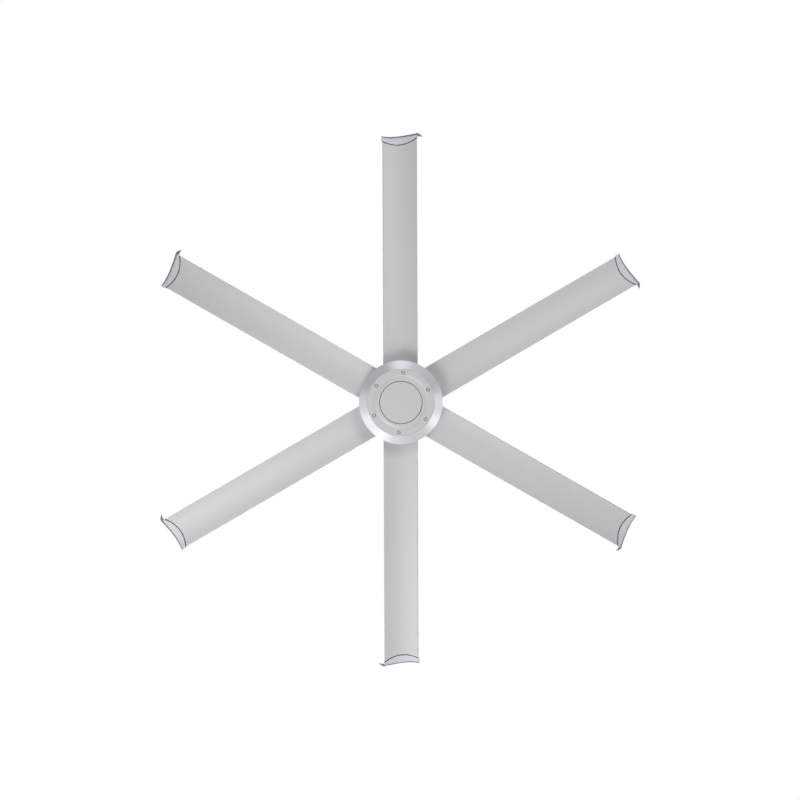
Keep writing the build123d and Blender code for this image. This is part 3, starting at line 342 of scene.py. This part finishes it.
def node_of(tree, kind):
    """The first node of a kind in a tree."""
    return next(node for node in tree.nodes if node.type == kind)


def feed(tree, socket, value):
    """Sets an input to a number, or links it to an output."""
    if isinstance(value, (int, float)):
        socket.default_value = value
    else:
        tree.links.new(value, socket)


def math_node(tree, operation, *values):
    """A math node fed by outputs or numbers."""
    node = tree.nodes.new("ShaderNodeMath")
    node.operation = operation
    for index, value in enumerate(values):
        feed(tree, node.inputs[index], value)
    return node.outputs[0]


def vector_node(tree, operation, *vectors):
    """A vector math node fed by outputs."""
    node = tree.nodes.new("ShaderNodeVectorMath")
    node.operation = operation
    for index, vector in enumerate(vectors):
        feed(tree, node.inputs[index], vector)
    return node


def spread(tree, value, low, high, start=0.0, end=1.0, kind="LINEAR"):
    """Maps a value between a start and an end onto a range."""
    node = tree.nodes.new("ShaderNodeMapRange")
    node.interpolation_type = kind
    feed(tree, node.inputs["Value"], value)
    feed(tree, node.inputs["From Min"], start)
    feed(tree, node.inputs["From Max"], end)
    feed(tree, node.inputs["To Min"], low)
    feed(tree, node.inputs["To Max"], high)
    return node.outputs["Result"]


def noise(tree, vector, scale, detail):
    """A noise texture on a vector."""
    node = tree.nodes.new("ShaderNodeTexNoise")
    feed(tree, node.inputs["Vector"], vector)
    feed(tree, node.inputs["Scale"], scale)
    feed(tree, node.inputs["Detail"], detail)
    return node.outputs["Fac"]


def about_middle(tree, value, strength):
    """Noise that goes as far below zero as above it, times a strength."""
    return math_node(tree, "MULTIPLY", math_node(tree, "SUBTRACT", value, MIDDLE_OF_NOISE), strength)


def shade(tree, colour, factor):
    """Multiplies a colour by a factor."""
    node = vector_node(tree, "SCALE", colour)
    feed(tree, node.inputs["Scale"], factor)
    return node.outputs["Vector"]


PAINT_INPUTS = (
    ("Vector", "NodeSocketVector", (0.0, 0.0, 0.0)),
    ("Colour", "NodeSocketColor", (0.5, 0.5, 0.5, 1.0)),
    ("Roughness", "NodeSocketFloat", 0.4),
    ("Fleck Scale", "NodeSocketFloat", 900.0),
    ("Fleck", "NodeSocketFloat", 0.05),
    ("Drift", "NodeSocketFloat", 0.03),
)
SURFACE_OUTPUTS = (
    ("Colour", "NodeSocketColor"),
    ("Roughness", "NodeSocketFloat"),
    ("Height", "NodeSocketFloat"),
)


def paint_group():
    """Sprayed or moulded skin: fine fleck, slow drift in tone and a soft orange peel."""
    tree, source, sink = group_tree("Sprayed skin", PAINT_INPUTS, SURFACE_OUTPUTS)
    vector = source.outputs["Vector"]
    fleck = noise(tree, vector, source.outputs["Fleck Scale"], FLECK_DETAIL)
    drift = noise(tree, vector, DRIFT_SCALE, DRIFT_DETAIL)
    peel_scale = math_node(tree, "MULTIPLY", source.outputs["Fleck Scale"], PEEL_SHARE)
    peel = noise(tree, vector, peel_scale, PEEL_DETAIL)
    fleck_part = about_middle(tree, fleck, source.outputs["Fleck"])
    drift_part = about_middle(tree, drift, source.outputs["Drift"])
    factor = math_node(tree, "ADD", math_node(tree, "ADD", fleck_part, drift_part), 1.0)
    tree.links.new(shade(tree, source.outputs["Colour"], factor), sink.inputs["Colour"])
    drift_factor = math_node(tree, "ADD", drift_part, 1.0)
    rough = math_node(tree, "MULTIPLY", drift_factor, source.outputs["Roughness"])
    tree.links.new(rough, sink.inputs["Roughness"])
    tree.links.new(peel, sink.inputs["Height"])
    return tree


METAL_INPUTS = (
    ("Vector", "NodeSocketVector", (0.0, 0.0, 0.0)),
    ("Colour", "NodeSocketColor", (0.5, 0.5, 0.5, 1.0)),
    ("Roughness", "NodeSocketFloat", 0.3),
    ("Grain Scale", "NodeSocketFloat", 400.0),
    ("Grain", "NodeSocketFloat", 0.1),
)


def metal_surface(tree, source, sink, streak, cloud):
    """Turns a streak and a cloud of noise into a metal's colour, roughness and height."""
    streak_part = about_middle(tree, streak, source.outputs["Grain"])
    cloud_part = about_middle(tree, cloud, CLOUD_STRENGTH)
    factor = math_node(tree, "ADD", math_node(tree, "ADD", streak_part, cloud_part), 1.0)
    tree.links.new(shade(tree, source.outputs["Colour"], factor), sink.inputs["Colour"])
    rough_low = math_node(tree, "MULTIPLY", source.outputs["Roughness"], 1.0 - METAL_ROUGHNESS_SPREAD)
    rough_high = math_node(tree, "MULTIPLY", source.outputs["Roughness"], 1.0 + METAL_ROUGHNESS_SPREAD)
    tree.links.new(spread(tree, streak, rough_low, rough_high), sink.inputs["Roughness"])
    tree.links.new(streak, sink.inputs["Height"])


def turned_group():
    """Lathe turned metal: fine rings about the rotor axis."""
    tree, source, sink = group_tree("Turned metal", METAL_INPUTS, SURFACE_OUTPUTS)
    split = tree.nodes.new("ShaderNodeSeparateXYZ")
    tree.links.new(source.outputs["Vector"], split.inputs[0])
    square_x = math_node(tree, "MULTIPLY", split.outputs["X"], split.outputs["X"])
    square_y = math_node(tree, "MULTIPLY", split.outputs["Y"], split.outputs["Y"])
    radius = math_node(tree, "SQRT", math_node(tree, "ADD", square_x, square_y))
    join = tree.nodes.new("ShaderNodeCombineXYZ")
    tree.links.new(radius, join.inputs["X"])
    tree.links.new(split.outputs["Z"], join.inputs["Y"])
    streak = noise(tree, join.outputs[0], source.outputs["Grain Scale"], RING_DETAIL)
    cloud = noise(tree, source.outputs["Vector"], TURNED_CLOUD_SCALE, CLOUD_DETAIL)
    metal_surface(tree, source, sink, streak, cloud)
    return tree


def cast_group():
    """Cast or plated metal: an even fine grain with a slow cloud."""
    tree, source, sink = group_tree("Cast metal", METAL_INPUTS, SURFACE_OUTPUTS)
    streak = noise(tree, source.outputs["Vector"], source.outputs["Grain Scale"], GRAIN_DETAIL)
    cloud = noise(tree, source.outputs["Vector"], CAST_CLOUD_SCALE, CLOUD_DETAIL)
    metal_surface(tree, source, sink, streak, cloud)
    return tree


def surface_material(name, group, colour, roughness, metallic, bump, distance, group_values):
    """A material whose colour, roughness and bump come from one of the groups."""
    material = bpy.data.materials.new(name)
    material.use_nodes = True
    tree = material.node_tree
    shader = node_of(tree, "BSDF_PRINCIPLED")
    shader.inputs["Metallic"].default_value = metallic
    place = tree.nodes.new("ShaderNodeTexCoord")
    skin = tree.nodes.new("ShaderNodeGroup")
    skin.node_tree = group
    skin.inputs["Colour"].default_value = (*colour, 1.0)
    skin.inputs["Roughness"].default_value = roughness
    for label, value in group_values:
        skin.inputs[label].default_value = value
    tree.links.new(place.outputs["Object"], skin.inputs["Vector"])
    relief = tree.nodes.new("ShaderNodeBump")
    relief.inputs["Strength"].default_value = bump
    relief.inputs["Distance"].default_value = distance
    tree.links.new(skin.outputs["Height"], relief.inputs["Height"])
    tree.links.new(skin.outputs["Colour"], shader.inputs["Base Color"])
    tree.links.new(skin.outputs["Roughness"], shader.inputs["Roughness"])
    tree.links.new(relief.outputs["Normal"], shader.inputs["Normal"])
    return material


def group_named(name, make):
    """The group of that name, made once."""
    return bpy.data.node_groups.get(name) or make()


def paint(name, colour, roughness, metallic, fleck_scale=900.0, fleck=0.05, drift=0.03, bump=0.08):
    """A painted, moulded or rubber finish."""
    group = group_named("Sprayed skin", paint_group)
    values = (("Fleck Scale", fleck_scale), ("Fleck", fleck), ("Drift", drift))
    return surface_material(name, group, colour, roughness, metallic, bump, SKIN_RELIEF, values)


def turned_metal(name, colour, roughness, grain_scale, grain, bump):
    """A metal with lathe rings."""
    group = group_named("Turned metal", turned_group)
    values = (("Grain Scale", grain_scale), ("Grain", grain))
    return surface_material(name, group, colour, roughness, 1.0, bump, RING_RELIEF, values)


def cast_metal(name, colour, roughness, grain_scale, grain, bump, metallic=1.0):
    """A metal with an even grain."""
    group = group_named("Cast metal", cast_group)
    values = (("Grain Scale", grain_scale), ("Grain", grain))
    return surface_material(name, group, colour, roughness, metallic, bump, SKIN_RELIEF, values)


def gap_shade_rubber(name, colours):
    """Dull rubber of the seals and washers. It is near-black as painted shade: those pieces stand in for
    the shade in the gaps, the counterbores and the seams.
    """
    return paint(
        name, colours.gap_shade_rubber, roughness=0.7, metallic=0.0,
        fleck_scale=700.0, fleck=0.2, drift=0.1, bump=0.2,
    )


def painted_shade_outside(material):
    """Paints shade into the colour of the faces that look away from the rotor axis, and leaves the others
    as they are.
    """
    tree = material.node_tree
    shader = node_of(tree, "BSDF_PRINCIPLED")
    place = node_of(tree, "TEX_COORD")
    flat = vector_node(tree, "MULTIPLY", place.outputs["Object"])
    flat.inputs[1].default_value = (1.0, 1.0, 0.0)
    outward = vector_node(tree, "NORMALIZE", flat.outputs["Vector"])
    facing = vector_node(tree, "DOT_PRODUCT", outward.outputs["Vector"], place.outputs["Normal"])
    # Painted shade: the colour is scaled from 1 down to 1 minus the darkening as a face turns outward
    factor = spread(
        tree, facing.outputs["Value"], 1.0, 1.0 - OUTSIDE_SHADE_DARKENING,
        start=OUTSIDE_SHADE_START, end=OUTSIDE_SHADE_FULL, kind="SMOOTHSTEP",
    )
    colour = shader.inputs["Base Color"].links[0].from_socket
    tree.links.new(shade(tree, colour, factor), shader.inputs["Base Color"])


def dress(names, material):
    """Gives CAD nodes a material."""
    for name in names:
        node = nodes[name]
        node.data.materials.clear()
        node.data.materials.append(material)


# Modelling tools


def deselect():
    """Nothing stays selected."""
    for item in bpy.context.view_layer.objects:
        item.select_set(False)


def take(piece):
    """Makes one object the only one selected, and the active one."""
    deselect()
    piece.select_set(True)
    bpy.context.view_layer.objects.active = piece


def blade_direction(number):
    """Along a blade, away from the rotor axis."""
    turn = BLADE_STEP * (number - 0.5)
    return Vector((math.cos(turn), math.sin(turn), 0))


def finish(piece, name, material, body):
    """Names a piece, gives it its material and hands it to its body."""
    piece.name = name
    piece.data.name = name
    piece.data.materials.clear()
    piece.data.materials.append(material)
    take(piece)
    bpy.ops.object.transform_apply(location=True, rotation=True, scale=True)
    bpy.ops.object.shade_smooth_by_angle(angle=bpy.context.scene.fan_details.smooth_angle)
    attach(piece, body)


def merged_copy(node):
    """A copy of a CAD node with its faces joined, so that it shades and edits as one skin."""
    copy = bpy.data.objects.new("copy", node.data.copy())
    bpy.context.scene.collection.objects.link(copy)
    take(copy)
    bpy.ops.mesh.customdata_custom_splitnormals_clear()
    bpy.ops.object.mode_set(mode="EDIT")
    bpy.ops.mesh.select_mode(type="FACE")
    bpy.ops.mesh.select_all(action="SELECT")
    bpy.ops.mesh.remove_doubles(threshold=MERGE_DISTANCE)
    bpy.ops.mesh.select_all(action="DESELECT")
    bpy.ops.object.mode_set(mode="OBJECT")
    return copy


def turned_ring(centre, inner, outer, low, high, steps):
    """A ring of rubber: a rectangular section with soft corners, spun about an upright axis."""
    width = outer - inner
    height = high - low
    middle = Vector((centre.x + (inner + outer) / 2, centre.y, (low + high) / 2))
    deselect()
    bpy.ops.mesh.primitive_plane_add(size=1.0, location=middle, rotation=(math.radians(90), 0, 0))
    piece = bpy.context.object
    bpy.ops.object.transform_apply(location=True, rotation=True, scale=True)
    bpy.ops.object.mode_set(mode="EDIT")
    bpy.ops.mesh.select_all(action="SELECT")
    bpy.ops.transform.resize(value=(width, 1.0, height), center_override=middle)
    corner = min(width, height) * CORNER_SHARE
    bpy.ops.mesh.bevel(offset=corner, segments=CORNER_SEGMENTS, affect="VERTICES")
    bpy.ops.mesh.select_all(action="SELECT")
    bpy.ops.mesh.delete(type="ONLY_FACE")
    bpy.ops.mesh.select_all(action="SELECT")
    axis_foot = (centre.x, centre.y, 0)
    bpy.ops.mesh.spin(steps=steps, angle=math.tau, center=axis_foot, axis=(0, 0, 1))
    bpy.ops.mesh.select_all(action="SELECT")
    bpy.ops.mesh.remove_doubles(threshold=SPIN_MERGE_DISTANCE)
    bpy.ops.mesh.normals_make_consistent(inside=False)
    bpy.ops.object.mode_set(mode="OBJECT")
    return piece


def turned_copy(piece, angle):
    """A copy with a mesh of its own, turned about the rotor axis."""
    copy = bpy.data.objects.new(piece.name, piece.data.copy())
    bpy.context.scene.collection.objects.link(copy)
    copy.rotation_euler.z = angle
    return copy


# Pieces


class FAN_OT_ceiling_side(bpy.types.Operator):
    """Finishes for the bracket, canopy, ball joint, rod and bell"""

    bl_idname = "fan.ceiling_side"
    bl_label = "Ceiling side"

    def execute(self, context):
        colours = context.scene.fan_colours
        silver = paint("canopy silver", colours.hub_paint, roughness=0.38, metallic=0.55)
        dress(["canopy", "coupling_cover", "downrod"], silver)
        plated = cast_metal(
            "zinc plate", colours.steel, roughness=0.34, grain_scale=300.0, grain=0.16, bump=0.12
        )
        dress(
            ["hanger_bracket", "canopy_screws", "ball_pin", "ball_screw", "clevis_pin", "pin_clip",
             "coupling_screws", "rotor_screws", "shell_screws", "spar_bolts", "blade_screws",
             "tip_screws"],
            plated,
        )
        trim = paint(
            "trim rubber", colours.black_plastic, roughness=0.7, metallic=0.0,
            fleck_scale=700.0, fleck=0.2, drift=0.1, bump=0.2,
        )
        dress(["canopy_trim"], trim)
        moulding = paint(
            "black moulding", colours.black_plastic, roughness=0.5, metallic=0.0,
            fleck_scale=1400.0, fleck=0.15, drift=0.06, bump=0.35,
        )
        dress(["receiver_box", "hanger_ball"], moulding)
        nylon = paint(
            "natural nylon", colours.white_nylon, roughness=0.45, metallic=0.0,
            fleck_scale=500.0, fleck=0.03, drift=0.05, bump=0.1,
        )
        dress(["terminal_block", "ball_seat"], nylon)
        brass = cast_metal(
            "brass", colours.brass, roughness=0.3, grain_scale=300.0, grain=0.1, bump=0.1
        )
        dress(["earth_screw"], brass)
        casting = cast_metal(
            "coupling casting", colours.cast_metal, roughness=0.5,
            grain_scale=350.0, grain=0.2, bump=0.5,
        )
        dress(["motor_coupling"], casting)
        return {"FINISHED"}


class FAN_OT_motor(bpy.types.Operator):
    """Finishes for the motor and its castings"""

    bl_idname = "fan.motor"
    bl_label = "Motor"

    def execute(self, context):
        colours = context.scene.fan_colours
        bright = turned_metal(
            "ground steel", colours.ground_steel, roughness=0.22,
            grain_scale=1200.0, grain=0.08, bump=0.1,
        )
        dress(
            ["motor_shaft", "shaft_rings", "bearing_inner_races", "bearing_outer_races",
             "bearing_balls"],
            bright,
        )
        casting = cast_metal(
            "hub casting", colours.cast_metal, roughness=0.55, grain_scale=260.0, grain=0.2, bump=0.6
        )
        dress(["rotor_hub"], casting)
        spun = turned_metal(
            "spun steel", colours.spun_steel, roughness=0.32, grain_scale=500.0, grain=0.15, bump=0.2
        )
        dress(["rotor_case"], spun)
        stack = cast_metal(
            "laminations", colours.laminations, roughness=0.5, grain_scale=900.0, grain=0.3, bump=0.5
        )
        dress(["stator_core"], stack)
        magnet = cast_metal(
            "sintered magnet", colours.magnet, roughness=0.45, grain_scale=700.0, grain=0.2, bump=0.4
        )
        dress(["rotor_magnets"], magnet)
        winding = cast_metal(
            "winding", colours.copper, roughness=0.3, grain_scale=600.0, grain=0.3, bump=0.5
        )
        dress(["stator_windings"], winding)
        board = paint(
            "circuit board", colours.circuit_board, roughness=0.3, metallic=0.0,
            fleck_scale=300.0, fleck=0.2, drift=0.1,
        )
        dress(["sensor_board"], board)
        spar = turned_metal(
            "mill aluminium", colours.mill_aluminium, roughness=0.38,
            grain_scale=500.0, grain=0.2, bump=0.3,
        )
        dress([f"blade_spar_{number}" for number in blade_numbers], spar)
        return {"FINISHED"}


class FAN_OT_hub(bpy.types.Operator):
    """Finishes for the drum, the ring, the face and its screws"""

    bl_idname = "fan.hub"
    bl_label = "Hub"

    def execute(self, context):
        colours = context.scene.fan_colours
        silver = paint("hub silver", colours.hub_paint, roughness=0.38, metallic=0.55)
        dress(["upper_shell", "lower_shell"], silver)
        face = paint(
            "face silver", colours.face_paint, roughness=0.5, metallic=0.3, fleck_scale=1100.0
        )
        dress(["hub_plate", "centre_cover"], face)
        ring = turned_metal(
            "turned aluminium", colours.ring_metal, roughness=0.3,
            grain_scale=1500.0, grain=0.14, bump=0.2,
        )
        dress(["hub_ring"], ring)
        screw = cast_metal(
            "stainless", colours.screw_metal, roughness=0.4,
            grain_scale=900.0, grain=0.08, bump=0.1, metallic=0.5,
        )
        dress(["face_screws"], screw)
        details = context.scene.fan_details
        # Near-black rubber for the cover seal and the washers: painted shade in the gap round the cover
        # and in the counterbores
        rubber = gap_shade_rubber("seal rubber", colours)
        self.cover_shade_seal(details, rubber)
        self.washers(details, rubber)
        return {"FINISHED"}

    def cover_shade_seal(self, details, rubber):
        """Dark seal deep in the gap round the centre cover. Its near-black rubber is painted shade,
        standing in for the shade in the gap.
        """
        low = FACE_Z + details.cover_seal_depth
        inner = COVER_RADIUS + details.small_clearance
        outer = COVER_RADIUS + details.cover_gap - details.small_clearance
        high = low + details.cover_seal_height
        seal = turned_ring(Vector(), inner, outer, low, high, COVER_SEAL_STEPS)
        finish(seal, "cover_shade_seal", rubber, "rotor")

    def washers(self, details, rubber):
        """Dark washers that hold the heads of the six face screws in their counterbores. Their near-black
        rubber is painted shade, standing in for the shade deep in the counterbores.
        """
        second_blade = math.radians(90)
        turn = second_blade + details.screw_lead
        circle = (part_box("face_screws")[1].y - details.screw_head_radius) / math.sin(turn)
        centre = Vector((circle * math.cos(turn), circle * math.sin(turn), 0))
        low = FACE_Z + details.washer_depth
        high = low + details.washer_height
        inner = details.screw_head_radius - details.washer_lap
        first = turned_ring(centre, inner, details.washer_radius, low, high, WASHER_STEPS)
        others = [turned_copy(first, BLADE_STEP * step) for step in range(1, BLADE_COUNT)]
        for number, washer in enumerate((first, *others), 1):
            finish(washer, f"shade_washer_{number}", rubber, "rotor")


class FAN_OT_blades(bpy.types.Operator):
    """Finishes for the six blades and their tips"""

    bl_idname = "fan.blades"
    bl_label = "Blades"

    def execute(self, context):
        colours = context.scene.fan_colours
        silver = paint(
            "blade silver", colours.blade_paint, roughness=0.6, metallic=0.2,
            fleck_scale=1300.0, fleck=0.04, drift=0.03, bump=0.01,
        )
        dress([f"blade_{number}" for number in blade_numbers], silver)
        plastic = paint(
            "tip plastic", colours.tip_plastic, roughness=0.6, metallic=0.15,
            fleck_scale=1000.0, fleck=0.03, drift=0.04, bump=0.015,
        )
        # Painted shade: the tips' faces that look away from the rotor axis get a darker colour, and the
        # smooth tips below share this material
        painted_shade_outside(plastic)
        dress([f"blade_tip_{number}" for number in blade_numbers], plastic)
        # Near-black rubber for the seam seals: painted shade for the shadow line in each seam
        rubber = gap_shade_rubber("seam rubber", colours)
        for number in blade_numbers:
            seal = self.seam_shade_seal(number, context.scene.fan_details)
            finish(seal, f"seam_shade_seal_{number}", rubber, "rotor")
            tip = merged_copy(nodes[f"blade_tip_{number}"])
            finish(tip, f"smooth_tip_{number}", plastic, "rotor")
            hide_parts(f"blade_tip_{number}")
        return {"FINISHED"}

    def seam_shade_seal(self, number, details):
        """Seal between blade and tip: a copy of the blade's end face, thickened to both sides. The seam
        is real, and the seal's near-black rubber is painted shade, standing in for the seam's shadow
        line.
        """
        outward = blade_direction(number)
        seal = merged_copy(nodes[f"blade_{number}"])
        for face in seal.data.polygons:
            faces_out = face.normal.dot(outward) > END_FACING
            at_end = face.center.dot(outward) > TIP_RADIUS * END_REACH
            face.select = not (faces_out and at_end)
        bpy.ops.object.mode_set(mode="EDIT")
        bpy.ops.mesh.delete(type="FACE")
        bpy.ops.object.mode_set(mode="OBJECT")
        wall = seal.modifiers.new("wall", "SOLIDIFY")
        wall.thickness = details.seam_shade_seal_thickness
        wall.offset = 0.0
        bpy.ops.object.modifier_apply(modifier=wall.name)
        bpy.ops.object.mode_set(mode="EDIT")
        bpy.ops.mesh.select_all(action="SELECT")
        bpy.ops.transform.shrink_fatten(value=details.seam_shade_seal_lip)
        bpy.ops.object.mode_set(mode="OBJECT")
        return seal


# Stage


def seen_rays(tree):
    """1 for rays that show the background: to the camera, in a reflection or through glass."""
    rays = tree.nodes.new("ShaderNodeLightPath")
    seen = math_node(tree, "MAXIMUM", rays.outputs["Is Camera Ray"], rays.outputs["Is Glossy Ray"])
    return math_node(tree, "MAXIMUM", seen, rays.outputs["Is Transmission Ray"])


def image_direction(angle, elevation):
    """A direction from its angle in the picture and its elevation, in degrees."""
    turn = math.radians(angle)
    rise = math.radians(elevation)
    across = math.cos(rise)
    return Vector((math.cos(turn) * across, -math.sin(turn) * across, math.sin(rise)))


# Elevations in degrees: the hub's chamfer shows the low lamps, and the blades show the steep ones
LOW = -28
STEEP = -56
OVERHEAD = 72

# Name, angle in the picture in degrees, elevation and watts
LAMPS = (
    ("Low right lamp", 0, LOW, 2.5),
    ("Low back lamp", 90, LOW, 3.0),
    ("Low left lamp", 180, LOW, 1.8),
    ("Low key lamp", 210, LOW, 4.0),
    ("Low key lamp, second", 240, LOW, 4.6),
    ("Low front lamp", 270, LOW, 1.9),
    ("Low front lamp, second", 300, LOW, 1.2),
    ("Low side lamp", 330, LOW, 4.6),
    ("Steep key lamp", 240, STEEP, 38.0),
    ("Steep back lamp", 60, STEEP, 26.0),
    ("Overhead lamp", 60, OVERHEAD, 23.0),
)


class FAN_OT_stage(bpy.types.Operator):
    """Floor, room light, soft lamps and the camera under the fan"""

    bl_idname = "fan.stage"
    bl_label = "Stage"

    def execute(self, context):
        settings = context.scene.fan_stage
        self.floor(settings)
        self.room(context, settings)
        for name, angle, elevation, watts in LAMPS:
            self.lamp(context, settings, name, image_direction(angle, elevation), watts)
        self.camera(context, settings)
        context.scene.view_settings.view_transform = "Standard"
        return {"FINISHED"}

    def floor(self, settings):
        """A pale floor that fades into the white room."""
        deselect()
        under_fan = (0, 0, settings.floor_height)
        bpy.ops.mesh.primitive_plane_add(size=settings.floor_size, location=under_fan)
        floor = bpy.context.object
        floor.name = "floor"
        material = bpy.data.materials.new("pale floor")
        material.use_nodes = True
        tree = material.node_tree
        tree.nodes.clear()
        output = tree.nodes.new("ShaderNodeOutputMaterial")
        add = tree.nodes.new("ShaderNodeAddShader")
        diffuse = tree.nodes.new("ShaderNodeBsdfDiffuse")
        tone = settings.floor_tone
        diffuse.inputs["Color"].default_value = (tone, tone, tone, 1.0)
        glow = tree.nodes.new("ShaderNodeEmission")
        white = tree.nodes.new("ShaderNodeEmission")
        fade = tree.nodes.new("ShaderNodeMixShader")
        seen = seen_rays(tree)
        tree.links.new(math_node(tree, "MULTIPLY", seen, settings.floor_glow), glow.inputs["Strength"])
        tree.links.new(diffuse.outputs[0], add.inputs[0])
        tree.links.new(glow.outputs[0], add.inputs[1])
        far = self.far_from_fan(tree, settings)
        tree.links.new(math_node(tree, "MULTIPLY", seen, far), fade.inputs["Fac"])
        tree.links.new(add.outputs[0], fade.inputs[1])
        tree.links.new(white.outputs[0], fade.inputs[2])
        tree.links.new(fade.outputs[0], output.inputs["Surface"])
        floor.data.materials.append(material)

    def far_from_fan(self, tree, settings):
        """Goes from 0 under the fan to 1 at the far end of the fade."""
        place = tree.nodes.new("ShaderNodeTexCoord")
        length = vector_node(tree, "LENGTH", place.outputs["Object"])
        return spread(
            tree, length.outputs["Value"], 0.0, 1.0,
            start=settings.fade_start, end=settings.fade_end, kind="SMOOTHSTEP",
        )

    def room(self, context, settings):
        """Even light from all sides, white where it is seen."""
        world = bpy.data.worlds.new("Room")
        context.scene.world = world
        world.use_nodes = True
        tree = world.node_tree
        background = node_of(tree, "BACKGROUND")
        background.inputs["Color"].default_value = (1.0, 1.0, 1.0, 1.0)
        seen = seen_rays(tree)
        tree.links.new(spread(tree, seen, settings.sky_strength, 1.0), background.inputs["Strength"])

    def lamp(self, context, settings, name, direction, watts):
        """A soft round lamp that shines at the blades' plane."""
        light = bpy.data.lights.new(name, "AREA")
        light.shape = "DISK"
        light.size = settings.lamp_size
        light.energy = settings.lamp_strength * watts
        lamp = bpy.data.objects.new(name, light)
        context.scene.collection.objects.link(lamp)
        lamp.location = Vector((0, 0, BLADE_PLANE_Z)) + direction * settings.lamp_distance
        lamp.rotation_mode = "QUATERNION"
        lamp.rotation_quaternion = (-direction).to_track_quat("-Z", "Y")
        lamp.visible_camera = False

    def camera(self, context, settings):
        """The camera, below the fan and looking up."""
        data = bpy.data.cameras.new("Camera under the fan")
        data.lens = settings.camera_lens
        data.sensor_width = settings.camera_sensor
        data.sensor_fit = "HORIZONTAL"
        camera = bpy.data.objects.new("Camera under the fan", data)
        context.scene.collection.objects.link(camera)
        pitch = math.pi - settings.camera_tilt
        turned = Euler((pitch, settings.camera_lean, settings.camera_turn))
        aim = Vector((settings.camera_aside, -settings.camera_rise, BLADE_PLANE_Z))
        camera.location = aim + turned.to_matrix() @ Vector((0, 0, settings.camera_distance))
        camera.rotation_euler = turned
        context.scene.camera = camera


class FAN_PT_panel(bpy.types.Panel):
    """Lists the pieces of the fan"""

    bl_idname = "FAN_PT_panel"
    bl_label = "Ceiling fan"
    bl_space_type = "VIEW_3D"
    bl_region_type = "UI"
    bl_category = "Ceiling fan"

    def draw(self, context):
        for operator in PIECES:
            self.layout.operator(operator.bl_idname)
        for group in (context.scene.fan_stage, context.scene.fan_details, context.scene.fan_colours):
            for name in group.__annotations__:
                self.layout.prop(group, name)


PIECES = (FAN_OT_ceiling_side, FAN_OT_motor, FAN_OT_hub, FAN_OT_blades, FAN_OT_stage)
SETTINGS = (FanStageSettings, FanDetailSettings, FanColourSettings)


def register():
    for item in (*SETTINGS, *PIECES, FAN_PT_panel):
        bpy.utils.register_class(item)
    bpy.types.Scene.fan_stage = PointerProperty(type=FanStageSettings)
    bpy.types.Scene.fan_details = PointerProperty(type=FanDetailSettings)
    bpy.types.Scene.fan_colours = PointerProperty(type=FanColourSettings)


def unregister():
    del bpy.types.Scene.fan_colours
    del bpy.types.Scene.fan_details
    del bpy.types.Scene.fan_stage
    for item in reversed((*SETTINGS, *PIECES, FAN_PT_panel)):
        bpy.utils.unregister_class(item)


def main():
    """Builds the pieces in order."""
    register()
    bpy.ops.fan.ceiling_side()
    bpy.ops.fan.motor()
    bpy.ops.fan.hub()
    bpy.ops.fan.blades()
    bpy.ops.fan.stage()


if __name__ == "__main__":
    main()
